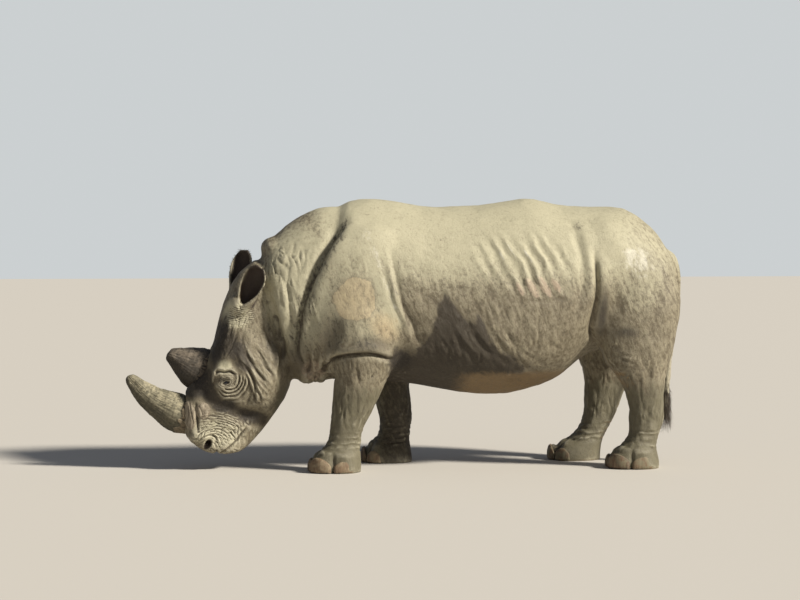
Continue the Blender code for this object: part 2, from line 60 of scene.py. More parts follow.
CAST_GRAIN = 0.012        # side of the squares of the rough cast
CAST_ROUNDS = 26          # rounds of rubbing down
CAST_FULLNESS = 0.0015    # the facets of the solids lie this far inside the round form
HIDE_GRAIN = 0.006        # side of the squares of the finished hide


def placed(name, data):
    """An object in the scene for a mesh, light or camera."""
    thing = bpy.data.objects.new(name, data)
    bpy.context.scene.collection.objects.link(thing)
    return thing


def mesh_of(name, points, *faces):
    """A mesh from an array of points and arrays of faces."""
    mesh = bpy.data.meshes.new(name)
    mesh.from_pydata(points.reshape(-1, 3).tolist(), [], [face for rows in faces for face in rows.tolist()])
    return mesh


def with_modifier(thing, kind, **settings):
    """The mesh of an object after one modifier; the object keeps it and no modifier."""
    step = thing.modifiers.new(kind, kind)
    for name, value in settings.items():
        setattr(step, name, value)
    graph = bpy.context.evaluated_depsgraph_get()
    mesh = bpy.data.meshes.new_from_object(thing.evaluated_get(graph))
    thing.modifiers.clear()
    thing.data = mesh
    return mesh


def points_of(mesh):
    """The corners of a mesh, one row each."""
    flat = np.empty(len(mesh.vertices) * 3)
    mesh.vertices.foreach_get("co", flat)
    return flat.reshape(-1, 3)


def set_points(mesh, points):
    """Move the corners of a mesh."""
    mesh.vertices.foreach_set("co", points.ravel())
    mesh.update()


def normals_of(mesh):
    """The outward direction at every corner of a mesh."""
    flat = np.empty(len(mesh.vertices) * 3, np.float32)
    mesh.vertex_normals.foreach_get("vector", flat)
    return flat.reshape(-1, 3).astype(float)


def edges_of(mesh):
    """The two corners of every edge of a mesh."""
    flat = np.empty(len(mesh.edges) * 2, np.int32)
    mesh.edges.foreach_get("vertices", flat)
    return flat.reshape(-1, 2)


def rubbed(mesh, rounds, pull=-0.53, share=1.0):
    """The corners of a mesh rubbed down without shrinking it: in every round each goes half
    way to the mean of its neighbours, then slightly more than half way back from it."""
    points, (a, b) = points_of(mesh), edges_of(mesh).T
    count = len(points)
    degree = np.bincount(a, minlength=count) + np.bincount(b, minlength=count)
    for _ in range(rounds):
        for step in (0.5, pull):
            mean = np.stack([np.bincount(a, points[b, k], count)
                             + np.bincount(b, points[a, k], count) for k in range(3)], axis=1)
            points = points + (step * share) * (mean / degree[:, None] - points)
    return points


def welded_parts(*meshes):
    """One mesh of several, its doubled corners merged."""
    shape = bmesh.new()
    for mesh in meshes:
        shape.from_mesh(mesh)
    bmesh.ops.remove_doubles(shape, verts=shape.verts, dist=0.00001)
    whole = bpy.data.meshes.new("cast")
    shape.to_mesh(whole)
    shape.free()
    return whole


def plugs():
    """What fills the sockets of horns, eyes and nails in the solids: each piece drawn to its
    root, every corner along its line to the centre and no further off than the reach."""
    made = []
    for name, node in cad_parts.items():
        if not name.startswith(("horn", "eye", "nail")):
            continue
        low, high = (np.array(corner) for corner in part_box(name))
        centre, reach = (low + high) / 2, 1.0
        if name.startswith("horn"):
            root = 0.16 if name == "horn_front" else 0.22
            centre = np.array([high[0] - root * (high[0] - low[0]), 0, low[2] + 0.3 * (high[2] - low[2])])
            reach = 0.1
        plug = node.data.copy()
        ray = points_of(plug) - centre
        far = np.linalg.norm(ray, axis=1, keepdims=True)
        set_points(plug, centre + ray * 0.9 * np.minimum(1, reach / far))
        made.append(plug)
    return made


def body_cast():
    """The rough cast: solids and plugs fused on a grid, rubbed down and filled out."""
    cast = placed("cast", welded_parts(*(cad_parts[n].data for n in FLESH), *plugs()))
    mesh = with_modifier(cast, "REMESH", mode="VOXEL", voxel_size=CAST_GRAIN)
    points = rubbed(mesh, CAST_ROUNDS)
    set_points(mesh, points)
    set_points(mesh, points + CAST_FULLNESS * normals_of(mesh))
    with_modifier(cast, "SUBSURF", levels=1)
    return cast


# The ears are leathery cups rolled to a tube at the root; each turns its own way.
EAR_HALF_WIDTH = 0.08
EARS = {"left": ((-1.072, -0.16, 1.0), (-0.957, -0.262, 1.276), (-0.35, -0.93, 0.15)),
        "right": ((-1.087, 0.155, 1.045), (-1.027, 0.24, 1.37), (-0.62, -0.78, 0.1))}
EAR_LEVELS = (0.0, 0.25, 0.5, 0.72, 0.86, 0.95, 1.0)            # shares of the ear's length
EAR_SPREAD = (0.56, 0.72, 0.96, 1.02, 0.88, 0.62, 0.3)          # outer width there
EAR_BACK = (0.044, 0.052, 0.054, 0.046, 0.034, 0.022, 0.012)    # depth behind the axis
EAR_FRONT = (0.042, 0.04, 0.022, 0.014, 0.012, 0.01, 0.006)     # and before it, to the rim
CUP_LEVELS = (0.17, 0.28, 0.5, 0.72, 0.86, 0.94, 0.965)
CUP_SPREAD = (0.16, 0.48, 0.8, 0.88, 0.72, 0.42, 0.16)          # the hollow's width
CUP_BACK = (0.004, 0.03, 0.042, 0.036, 0.024, 0.01, 0.003)
CUP_FRONT = (0.06, 0.07, 0.065, 0.055, 0.05, 0.045, 0.04)


def tube(rows, around):
    """Corners of a tube in rows, the next ones round it, and the faces between the rows."""
    corner = np.arange(rows * around).reshape(rows, around)
    after = np.roll(corner, -1, axis=1)
    return corner, after, np.stack([corner[:-1], after[:-1], after[1:], corner[1:]], axis=-1).reshape(-1, 4)


def ring_solid(name, rings):
    """A closed mesh through rings of points, each end closed by a fan to its middle."""
    count, around, _ = rings.shape
    corner, after, walls = tube(count, around)
    first = np.stack([after[0], corner[0], np.full(around, count * around)], axis=1)
    last = np.stack([corner[-1], after[-1], np.full(around, count * around + 1)], axis=1)
    points = np.vstack([rings.reshape(-1, 3), rings[0].mean(0), rings[-1].mean(0)])
    mesh = mesh_of(name, points, walls, first, last)
    shape = bmesh.new()
    shape.from_mesh(mesh)
    bmesh.ops.recalc_face_normals(shape, faces=shape.faces)
    shape.to_mesh(mesh)
    shape.free()
    return mesh


def ear_axes(side):
    """An ear's base and length, and the directions along it, to its front and across."""
    base, tip, facing = (np.array(part) for part in EARS[side])
    length = np.linalg.norm(tip - base)
    axis = (tip - base) / length
    front = facing - axis * (facing @ axis)
    front /= np.linalg.norm(front)
    return base, length, axis, front, np.cross(axis, front)


def ear_form(side):
    """A trough cut from an egg: half ellipses before and behind the axis, stacked from the
    base to the tip, less a smaller stack of the same kind that is open to the front."""
    base, length, axis, front, across = ear_axes(side)
    turn = np.linspace(0, 2 * np.pi, 48, endpoint=False)
    blur = np.array([1, 2, 3, 4, 3, 2, 1]) / 16

    def stack(name, levels, *rows):
        s = np.linspace(levels[0], levels[-1], 48)
        soft = [np.convolve(np.pad(np.interp(s, levels, row), 3, "edge"), blur, "valid") for row in rows]
        wide, behind, before = (row[:, None, None] for row in soft)
        depth = np.where(np.sin(turn)[:, None] > 0, before, behind)
        curl = 0.012 * np.sin(np.pi * s)[:, None, None] * np.cos(turn)[:, None] ** 2 * front
        ring = (EAR_HALF_WIDTH * wide * np.cos(turn)[:, None] * across
                + depth * np.sin(turn)[:, None] * front + curl)
        return ring_solid(name, (base + np.outer(s * length, axis))[:, None] + ring)

    ear = placed("ear", stack("ear", EAR_LEVELS, EAR_SPREAD, EAR_BACK, EAR_FRONT))
    cup = placed("cup", stack("cup", CUP_LEVELS, CUP_SPREAD, CUP_BACK, CUP_FRONT))
    mesh = with_modifier(ear, "BOOLEAN", operation="DIFFERENCE", object=cup)
    bpy.data.objects.remove(ear)
    bpy.data.objects.remove(cup)
    return mesh


hide = body_cast()
hide.name = "hide"
hide.data = welded_parts(hide.data, ear_form("left"), ear_form("right"))
with_modifier(hide, "REMESH", mode="VOXEL", voxel_size=HIDE_GRAIN)
set_points(hide.data, rubbed(hide.data, 4))

# ---------------------------------------------------------------- folds of the hide
# Thick hide lies in folds where the limbs and neck meet the trunk and where it is loose,
# and it is creased finely all over.  Each fold is pressed into the surface along its normal.
RIB_SPACING = 0.083
PLEAT_SPACING = 0.034     # of the level pleats above the feet
TAIL_RING_SPACING = 0.022


def ease(value, low, high):
    """0 below low, 1 above high, with a smooth step between them."""
    t = np.clip((value - low) / (high - low), 0, 1)
    return t * t * (3 - 2 * t)


LATTICE_TURN = np.array(Matrix.Rotation(0.9, 3, Vector((1, 2, 0.6))))


def mottle(points, size, seed):
    """Smooth noise from about -1 to 1: each corner of a lattice of cubes of that size has
    a slope of its own, and the slopes are blended with smooth steps inside the cube."""
    scaled = points @ LATTICE_TURN / size + 37.3
    cell = np.floor(scaled)
    part = scaled - cell
    step = part ** 3 * (part * (part * 6 - 15) + 10)
    cell = cell.astype(np.int64)
    total = np.zeros(len(points))
    for corner in np.ndindex(2, 2, 2):
        i, j, k = (cell + np.array(corner)).T
        code = (i * 73856093) ^ (j * 19349663) ^ (k * 83492791) ^ (seed * 2654435761)
        slope = []
        for _ in range(3):
            code = ((code ^ (code >> 13)) * 1274126177) & 0x7FFFFFFF
            code = ((code ^ (code >> 15)) * 2246822519) & 0x7FFFFFFF
            slope.append(code / 0x3FFFFFFF - 1)
        rise = (np.stack(slope, axis=1) * (part - np.array(corner))).sum(1)
        total += rise * np.prod(np.where(corner, step, 1 - step), axis=1)
    return 1.7 * total


def smooth_path(knots, steps=12):
    """Points of a Catmull-Rom curve through the knots."""
    knots = np.array(knots, float)
    padded = np.vstack([2 * knots[0] - knots[1], knots, 2 * knots[-1] - knots[-2]])
    t = np.linspace(0, 1, steps, endpoint=False)[:, None]
    spans = [0.5 * (2 * b + (c - a) * t + (2 * a - 5 * b + 4 * c - d) * t ** 2
                    + (3 * b - a - 3 * c + d) * t ** 3)
             for a, b, c, d in zip(padded, padded[1:], padded[2:], padded[3:])]
    return np.vstack([*spans, knots[-1:]])


class Relief:
    """Heights pressed into a surface: gathered at its corners, then applied at once.  Places
    and sizes are given in millimetres, those of the side plane as x and z."""

    def __init__(self, mesh):
        self.mesh = mesh
        self.points = points_of(mesh)
        self.normals = normals_of(mesh)
        self.lift = np.zeros(len(self.points))
        self.drag = np.zeros_like(self.points)

    def apply(self):
        """Move the corners along their normals and along the folds' own drag."""
        set_points(self.mesh, self.points + self.lift[:, None] * self.normals + self.drag)
        self.__init__(self.mesh)

    def facing(self, side):
        """How squarely the surface faces that side of the body."""
        return ease(side * self.normals[:, 1], 0.0, 0.15) * (side * self.points[:, 1] > 0.02)

    def fold(self, knots, depth, width, lip=0, roll=0, ends=(0.2, 0.2), back=0):
        """A groove along a path of the side plane, on both sides of the body: a bell curve
        of the distance across it, with a fuller bell as its lip to the left of the path's
        direction, which is also rolled over the groove; it lies further back on the right."""
        path = smooth_path(knots) / 1000
        depth, width, lip, roll, back = np.array((depth, width, lip, roll, back)) / 1000
        start, run = path[:-1], np.diff(path, axis=0)
        length = np.linalg.norm(run, axis=1)
        passed = np.concatenate([[0], np.cumsum(length)]) / length.sum()
        reach = 5 * width
        for _, side in SIDES:
            place = self.points[:, ::2] - (back * (side > 0), 0)
            outward = self.facing(side)
            near = (place > path.min(0) - reach) & (place < path.max(0) + reach)
            spot = np.flatnonzero(near.all(1) & (outward > 0))
            offset = place[spot][:, None] - start[None]
            t = np.clip((offset * run).sum(2) / length ** 2, 0, 1)
            gap = np.linalg.norm(offset - t[..., None] * run, axis=2)
            best = gap.argmin(1)
            rows = np.arange(len(spot))
            beside = run[best, 0] * offset[rows, best, 1] - run[best, 1] * offset[rows, best, 0]
            across = np.sign(beside) * gap[rows, best]
            share = passed[best] + t[rows, best] * (passed[best + 1] - passed[best])
            fade = ease(share, 0, ends[0]) * ease(1 - share, 0, ends[1]) * outward[spot]
            bell = np.exp(-(across / width) ** 2)
            full = np.exp(-((across - 2.0 * width) / (1.5 * width)) ** 2)
            self.lift[spot] += fade * (lip * full - depth * bell)
            if roll:
                aim = np.stack([run[best, 1], -run[best, 0]], axis=1) / length[best, None]
                pull = (fade * roll * np.exp(-((across - 1.2 * width) / width) ** 2))[:, None] * aim
                self.drag[spot, 0] += pull[:, 0]
                self.drag[spot, 2] += pull[:, 1]

    def mask(self, centre, radii, pitch=0, soft=0.5, back=0, both=True):
        """1 inside an ellipsoid and 0 outside, on both sides of the body; pitch in degrees."""
        total = np.zeros(len(self.points))
        c, s = math.cos(math.radians(pitch)), math.sin(math.radians(pitch))
        for _, side in SIDES if both else SIDES[:1]:
            middle = np.array((centre[0] + back * (side > 0), side * centre[1], centre[2])) / 1000
            x, y, z = (self.points - middle).T
            spans = np.stack([c * x - s * z, y, s * x + c * z]) / (np.array(radii)[:, None] / 1000)
            total = np.maximum(total, ease(-np.sqrt((spans ** 2).sum(0)), -1, -1 + soft))
        return total

    def stroke(self, knots, widths):
        """1 along a path of the side plane, falling smoothly to 0 at its widths, on both
        sides of the body."""
        near = np.full(len(self.points), 9.0)
        for x, z, width in smooth_path(np.column_stack([knots, widths]), 8) / 1000:
            near = np.minimum(near, np.hypot(self.points[:, 0] - x, self.points[:, 2] - z) / width)
        return ease(-near, -1, 0) * (np.abs(self.points[:, 1]) > 0.02)

    def swell(self, centre, radii, height, pitch=0, back=0):
        """A soft rise, or a hollow where the height is negative."""
        self.lift += height / 1000 * self.mask(centre, radii, pitch, 1.0, back)

    def creases(self, along, spacing, stretch, depth, seed, where, sharp=0.22):
        """Wandering creases: noise drawn out along a direction is pressed in where it
        passes through zero."""
        spot = np.flatnonzero(where > 0.01)
        spacing, depth = spacing / 1000, depth / 1000
        along = np.array(along, float) / np.linalg.norm(along)
        points = self.points[spot]
        drawn = points - np.outer(points @ along, along) * (1 - 1 / stretch)
        drawn = drawn + 0.35 * spacing * mottle(points, 3.1 * spacing, seed + 5)[:, None]
        noise = mottle(drawn, 1.3 * spacing, seed)
        strength = where[spot] * (0.45 + 0.55 * ease(mottle(points, 4 * spacing, seed + 9), -0.3, 0.4))
        self.lift[spot] -= depth * strength * (np.exp(-(noise / sharp) ** 2) - 0.3)

    def rings(self, centre, spacing, depth, seed, where, squash, even, pitch=0):
        """Creases in rings about a point of the side plane: noise drawn out around the
        point is pressed in where it passes through zero, over a faint even ripple."""
        spot = np.flatnonzero(where > 0.01)
        spacing, depth = spacing / 1000, depth / 1000
        points = self.points[spot]
        c, s = math.cos(math.radians(pitch)), math.sin(math.radians(pitch))
        x, z = (points[:, ::2] - np.array(centre) / 1000).T
        u, w = c * x - s * z, (s * x + c * z) / squash
        radius = np.hypot(u, w) + 0.5 * spacing * mottle(points, 4.5 * spacing, seed)
        lap = np.arctan2(w, u)
        polar = np.column_stack([radius, 0.054 * np.cos(lap), 0.054 * np.sin(lap)])
        noise = mottle(polar, 1.15 * spacing, seed + 3)
        line = np.exp(-(noise / 0.2) ** 2)
        wave = (0.5 + 0.5 * np.cos(2 * np.pi * radius / spacing)) ** 2
        strength = where[spot] * (0.35 + 0.65 * ease(mottle(points, 2.6 * spacing, seed + 9), -0.35, 0.35))
        self.lift[spot] -= depth * strength * ((1.2 - even) * line + even * wave - 0.35)


EYES = {side: np.array(sum(map(Vector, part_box("eye_" + side)), Vector()) / 2) for side, _ in SIDES}
EYE = EYES["left"]
NOSTRIL = np.array((-1.277, -0.15, 0.166))
(EYE_X, _, EYE_Z), (NOSTRIL_X, _, NOSTRIL_Z) = 1000 * EYE, 1000 * NOSTRIL
# tongues of frayed fibre beside the front horn: middle, radii, pitch
LAPPETS = (((-1388, 100, 345), (46, 120, 110), -6), ((-1305, 125, 378), (54, 120, 62), 10))
HEAD_END = -0.88          # the finer grain begins in front of this
HEAD_TOP = 1.12


def refined(mesh, chosen):
    """Split every face that has all its corners chosen into four."""
    shape = bmesh.new()
    shape.from_mesh(mesh)
    ends = edges_of(mesh)
    inside = np.flatnonzero(chosen[ends].all(1))
    shape.edges.ensure_lookup_table()
    bmesh.ops.subdivide_edges(shape, edges=[shape.edges[i] for i in inside], cuts=1, use_grid_fill=True)
    shape.to_mesh(mesh)
    shape.free()


def away_from(points, centre):
    """Distance to a point or to its mirror image on the other side of the body."""
    mirrored = np.stack([points[:, 0], -np.abs(points[:, 1]), points[:, 2]], axis=1)
    return np.linalg.norm(mirrored - centre, axis=1)


points = points_of(hide.data)
refined(hide.data, (points[:, 0] < HEAD_END) & (points[:, 2] < HEAD_TOP))
refined(hide.data, away_from(points_of(hide.data), EYE) < 0.052)
set_points(hide.data, rubbed(hide.data, 3))

relief = Relief(hide.data)
ears = relief.mask((-1020, 200, 1200), (160, 140, 220))[:, None]
set_points(hide.data, rubbed(hide.data, 8, share=ears))
relief = Relief(hide.data)
fold, swell, creases, rings, mask = relief.fold, relief.swell, relief.creases, relief.rings, relief.mask

# neck against shoulder, with the shoulder's edge rolled over it
fold([(-360, 1660), (-396, 1589), (-483, 1466), (-557, 1344), (-618, 1215), (-662, 1092), (-693, 963),
    (-712, 828), (-712, 723), (-690, 640)], 34, 30, 14, 22, (0.35, 0.1))
swell((-755, 300, 860), (100, 240, 340), -26, pitch=8)
# behind the shoulder blade
fold([(-165, 1450), (-141, 1307), (-91, 1048), (-35, 937), (8, 825), (60, 790)], 16, 20, -4, 0, (0.4, 0.1),
    back=100)
fold([(-215, 1380), (-195, 1250), (-150, 1060), (-95, 930), (-60, 840)], 8, 18, 3, 0, (0.4, 0.3), back=100)
# edge of the shoulder over the foreleg
fold([(-110, 745), (-147, 737), (-228, 762), (-314, 776), (-444, 766), (-530, 728), (-575, 640)], -10, 30, 0,
    0, (0.3, 0.15), back=220)
fold([(-575, 600), (-535, 690), (-460, 733), (-314, 748), (-228, 734), (-147, 705), (-100, 735)], 26, 17, 9,
    12, (0.1, 0.25), back=220)
# flank fold in front of the thigh, and the pleat before it
fold([(1100, 1420), (1124, 1340), (1138, 1129), (1118, 950), (1113, 880), (1150, 760)], 28, 22, 8, 8,
    (0.3, 0.15), back=-40)
fold([(995, 1560), (1015, 1480), (1049, 1229), (1020, 1070), (965, 900)], 12, 28, 6, 0, (0.2, 0.4), back=-40)
swell((1000, 300, 1555), (50, 100, 50), -12)
swell((1260, 280, 1420), (160, 200, 140), 16, back=-40)
relief.apply()

# ribs show as ridges that lean back, with a broken lower row over their ends
x, y, z = relief.points.T
both_flanks = relief.facing(-1) + relief.facing(1)


def ribs_at(x, z):
    """Which rib a place is at: whole numbers lie along the crests."""
    return (x + 0.5 * (z - 1.24) - 0.335) / RIB_SPACING


phase = ribs_at(x, z) + 0.22 * mottle(relief.points, 0.13, 3) + 0.12 * mottle(relief.points, 0.05, 4)
ridge = (0.5 + 0.5 * np.cos(2 * np.pi * phase)) ** 1.3 - 0.45
ridge = ridge * (0.55 + 0.6 * ease(mottle(relief.points, 0.12, 5), -0.5, 0.4))
upper = ease(1 - np.hypot((x - 0.66) / 0.42, (z - 1.31) / 0.22), 0, 0.6)
lower = ease(1 - np.hypot((x - 0.76) / 0.26, (z - 1.135) / 0.085), 0, 0.5)
relief.lift += both_flanks * ridge * (0.0115 * upper + 0.0075 * lower)
edge = z - 1.06 - 0.03 * (x - 0.7) - 0.018 * mottle(relief.points, 0.09, 6)
relief.lift -= 0.0035 * both_flanks * np.exp(-(edge / 0.012) ** 2) * ease(1 - np.abs(x - 0.79) / 0.22, 0, 0.6)
# loose hide low on the flank and belly
for knots, depth in (([(280, 1070), (330, 890), (440, 760), (650, 645)], 5),
                     ([(380, 1040), (460, 860), (590, 720), (750, 640)], 4.5),
                     ([(190, 1000), (230, 860), (340, 730), (500, 650)], 4),
                     ([(510, 950), (610, 790), (740, 695), (880, 660)], 3.5),
                     ([(500, 595), (620, 565), (740, 600)], 9),
                     ([(760, 900), (830, 800), (920, 740)], 3)):
    fold(knots, depth, 18, 0.7 * depth, 0, (0.4, 0.4))
low_flank = mask((460, 400, 840), (640, 350, 360))
creases((0.42, 0, -1), 40, 6, 4.5, 12, low_flank)
creases((0.62, 0, -1), 20, 5, 2.2, 10, low_flank)
creases((1, 0, -0.1), 50, 5, 4, 11, mask((500, 200, 520), (700, 300, 160)))
creases((0.35, 0, -1), 30, 6, 1.8, 9, mask((200, 400, 1250), (550, 350, 300)))
creases((-0.3, 0, 1), 50, 5, 3, 13, mask((-60, 350, 920), (140, 200, 160), back=140))
# shoulder, haunch and stifle
creases((0.15, 0, 1), 50, 4, 1.8, 14, mask((-330, 350, 1100), (300, 250, 420)))
creases((0, 0, 1), 40, 3, 3.5, 15, mask((-400, 350, 850), (200, 200, 160), back=180))
creases((0.1, 0, 1), 45, 3.5, 2.2, 16, mask((1420, 300, 980), (300, 300, 420), back=-40))
creases((1, 0, -0.35), 42, 3, 6, 17, mask((1280, 300, 720), (170, 220, 150), back=-80))
creases((1, 0, 0.2), 40, 3, 4, 18, mask((1400, 320, 900), (160, 200, 70), back=-60))
# throat and brisket hang in upright folds
creases((0, 0.15, 1), 44, 5, 9, 19, mask((-600, 120, 660), (170, 260, 160)))
for knots in ([(-620, 860), (-612, 760), (-600, 620)], [(-665, 800), (-655, 720), (-640, 600)],
              [(-575, 800), (-565, 720), (-550, 600)]):
    fold(knots, 13, 14, 4, 0, (0.4, 0.1))

# neck: long creases that run down behind the ear
neck = mask((-780, 250, 1080), (240, 340, 520))
creases((0.23, 0, -0.97), 34, 9, 6.2, 21, neck)
creases((0.18, 0, -0.97), 19, 7, 3.8, 25, neck)
creases((0.5, 0, 1), 50, 2.5, 3, 22, mask((-700, 220, 1300), (260, 240, 200)))
fold([(-900, 1140), (-865, 1000), (-830, 860), (-805, 760), (-825, 620), (-810, 500)], 18, 18, 4, 0,
    (0.3, 0.2))
fold([(-800, 1240), (-775, 1050), (-755, 900), (-750, 780)], 9, 16, 3, 0, (0.3, 0.3))
fold([(-930, 920), (-885, 800), (-860, 700), (-870, 600)], 9, 13, 3, 0, (0.3, 0.3))

# brow, temple, cheekbone and the hollows about them
swell((-1195, 150, 640), (60, 90, 55), 12, pitch=20)
swell((-1110, 185, 670), (50, 70, 58), -18)
swell((-1010, 180, 345), (130, 130, 75), -22, pitch=-10)
FACE_HOLLOW = ([(-1400, 680), (-1310, 600), (-1275, 500), (-1220, 420), (-1130, 385), (-1050, 345),
                (-940, 315)], (130, 120, 100, 85, 70, 80, 80))
relief.lift -= 0.018 * relief.stroke(*FACE_HOLLOW)
swell((-1290, 130, 500), (90, 130, 120), -16, pitch=20)
swell((-1165, 180, 545), (85, 90, 80), 16)
swell((-945, 180, 520), (90, 120, 120), 12)
swell((-1100, 170, 830), (100, 100, 90), -6)
for knots, depth in (([(-1085, 800), (-1020, 700), (-940, 585), (-870, 500)], 8),
                     ([(-1072, 690), (-1000, 585), (-985, 470), (-1030, 400)], 9),
                     ([(-990, 800), (-920, 670), (-865, 570)], 6),
                     ([(-1030, 550), (-1010, 480), (-1045, 400)], 5)):
    fold(knots, depth, 10, 0.5 * depth, 0, (0.3, 0.3))
cheek = mask((-975, 180, 620), (170, 150, 280))
creases((0.52, 0, -0.85), 30, 4.5, 5.5, 23, cheek)
creases((0.5, 0, -0.86), 16, 4.5, 3, 26, cheek)
creases((0.3, 0, 1), 34, 2.5, 5, 24, mask((-1100, 120, 860), (170, 220, 220)))
creases((0.3, 0, 1), 18, 3, 2.5, 27, mask((-1100, 120, 820), (190, 220, 260)))

# folds about the eye: the hood above it, the brow's edge, and loops below and behind
for path, depth, width, lip in (
        ([(-71, 43), (-61, 64), (-43, 74), (-13, 73), (23, 69), (59, 51)], 11, 8, 6),
        ([(-69, 74), (-82, 48), (-89, 18), (-92, -8)], -7, 10, 0),
        ([(-20, -13), (-3, -33), (22, -43), (54, -28), (73, 3), (78, 38), (68, 69)], 7.5, 6, 4),
        ([(-43, -28), (-18, -48), (8, -64), (33, -64), (69, -38), (94, -3), (99, 38), (89, 74)], 8, 6, 4),
        ([(-54, -33), (-38, -59), (-13, -79), (18, -87), (59, -74), (89, -48), (110, -13), (115, 28),
          (108, 69)], 7, 6, 4),
        ([(-28, -99), (18, -110), (69, -99), (110, -64), (130, -23), (138, 23), (130, 69)], 6, 6.5, 3),
        ([(110, 80), (150, -23), (176, -94), (190, -150)], 7, 6.5, 4),
        ([(130, 100), (172, 6), (205, -75), (220, -140)], 6, 6.5, 3)):
    path = [(EYE_X + along, EYE_Z + 4 * math.sin(0.07 * along) + up) for along, up in path]
    fold(path, depth, width, lip, 0, (0.18, 0.25))
swell((EYE_X - 45, 180, EYE_Z + 16), (40, 80, 45), -10)
swell((EYE_X + 24, 180, EYE_Z + 35), (40, 80, 34), 6)
about_eye = mask((EYE_X + 30, 190, EYE_Z - 10), (125, 90, 115))
about_eye *= ease(np.hypot(x - EYE[0], z - EYE[2]), 0.02, 0.04)
rings((EYE_X + 20, EYE_Z + 10), 12, 1.3, 31, about_eye, 0.7, 0.2, pitch=-25)
rings((-1050, 1080), 16.5, 4.8, 32, mask((-1075, 160, 965), (110, 120, 120)), 0.7, 0.6)
about_nose = mask((-1210, 130, 265), (190, 120, 165))
about_nose *= ease(np.hypot(x - NOSTRIL[0], z - NOSTRIL[2]), 0.04, 0.065)
rings((-1245, 165), 20.5, 6.8, 33, about_nose * ease(z - 0.25 * (x + 1.24), 0.17, 0.21), 0.8, 0.5)
rings((-1245, 165), 11, 2.2, 30, about_nose, 0.8, 0.2)
creases((0.74, 0, -0.67), 18.5, 3.2, 8, 34, mask((-1175, 120, 145), (130, 140, 80)))
creases((0.35, 0, -1), 20, 2.4, 7, 29, mask((-1050, 120, 235), (130, 140, 100)))
creases((1, 0, 0.1), 22, 3, 4, 35, mask((-1360, 50, 170), (100, 200, 100)))

# the front horn's fibres fray out over the sides of the nose in two lappets
upper, lower = (mask(*place, soft=0.45) for place in LAPPETS)
split = mottle(np.column_stack([x + 0.2 * z, y * 0.3, z * 0.12]), 0.03, 36)
relief.lift += 0.011 * upper + 0.006 * lower
relief.lift -= (0.006 * upper + 0.004 * lower) * np.exp(-(split / 0.09) ** 2)
fold([(-1352, 440), (-1343, 360), (-1340, 280), (-1330, 220)], 11, 8)
# muzzle: nostril under its flap, the lips and the corner of the mouth
swell((-1296, 125, 216), (66, 80, 34), 24, pitch=-24)
fold([(-1335, 180), (-1315, 208), (-1280, 222), (-1245, 222), (-1222, 195), (-1225, 165)], 7, 6, 4, -3,
    (0.2, 0.3))
nostril = mask((NOSTRIL_X, 150, NOSTRIL_Z), (26, 120, 42), 32, 0.75)
relief.lift -= 0.05 * nostril * ease(np.abs(y), 0.07, 0.1)
fold([(-1215, 98), (-1160, 135), (-1105, 185), (-1055, 245), (-1015, 300)], 14, 10, 6, 4, (0.05, 0.3))
under = ease(-relief.normals[:, 2], 0.3, 0.7) * ease(-z, -0.16, -0.13)
relief.lift -= 0.014 * under * np.exp(-((x + 1.222) / 0.011) ** 2)

# legs: upright creases above, level ones about the wrist, hock and pastern
for name in LEGS:
    low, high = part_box(name)
    side = -1 if name.endswith("left") else 1
    inside = (x > low[0] - 0.03) & (x < high[0] + 0.03) & (y * side > 0.03) & (z < 0.8)
    height = z + 0.012 * mottle(relief.points, 0.06, 41)
    upright = inside * ease(height, 0.2, 0.34) * ease(-height, -0.76, -0.62)
    creases((0.1, 0, 1), 24, 4.5, 5, 42, upright, sharp=0.18)
    creases((-0.2, 0, 1), 45, 3.5, 5.5, 44, upright)
    creases((1, 0.2, 0), 22, 2.5, 3.6, 43, inside * ease(height, 0.08, 0.14) * ease(-height, -0.4, -0.24))
    pleat = (0.5 + 0.5 * np.cos(2 * np.pi * height / PLEAT_SPACING)) ** 2
    pleat *= 0.4 + 0.6 * ease(mottle(relief.points, 0.09, 45), -0.3, 0.3)
    relief.lift -= 0.005 * pleat * inside * ease(height, 0.1, 0.13) * ease(-height, -0.27, -0.22)
# tail: close rings
tail = (x > 1.66) & (np.abs(y) < 0.075) & (z < 1.2)
relief.lift -= 0.002 * tail * (0.5 + 0.5 * np.cos(2 * np.pi * z / TAIL_RING_SPACING)) ** 2
# the fine unevenness of thick hide everywhere
relief.lift += 0.003 * mottle(relief.points, 0.16, 52) + 0.0012 * mottle(relief.points, 0.055, 53)
relief.apply()

# ---------------------------------------------------------------- lids and toes of the hide
# The lids are a thick ring of hide drawn over the eyeball, open in a narrow almond.  The
# three toes of a foot bulge over their nails, with clefts between them.
BALL = 0.021              # radius of the eyeball
LID = 0.0035              # thickness of a lid's edge
SLIT = (0.0205, 0.0105)   # half length and half height of the opening


def eye_axes(side):
    """Unit vectors of an eye: to the front along the slit, up across it, and outwards."""
    out = Vector((-0.22, side * 0.965, 0.12)).normalized()
    fore = Vector((-0.97, 0, -0.25))
    fore = (fore - out * fore.dot(out)).normalized()
    up = fore.cross(out)
    return np.array([fore, up if up.z > 0 else -up, out])


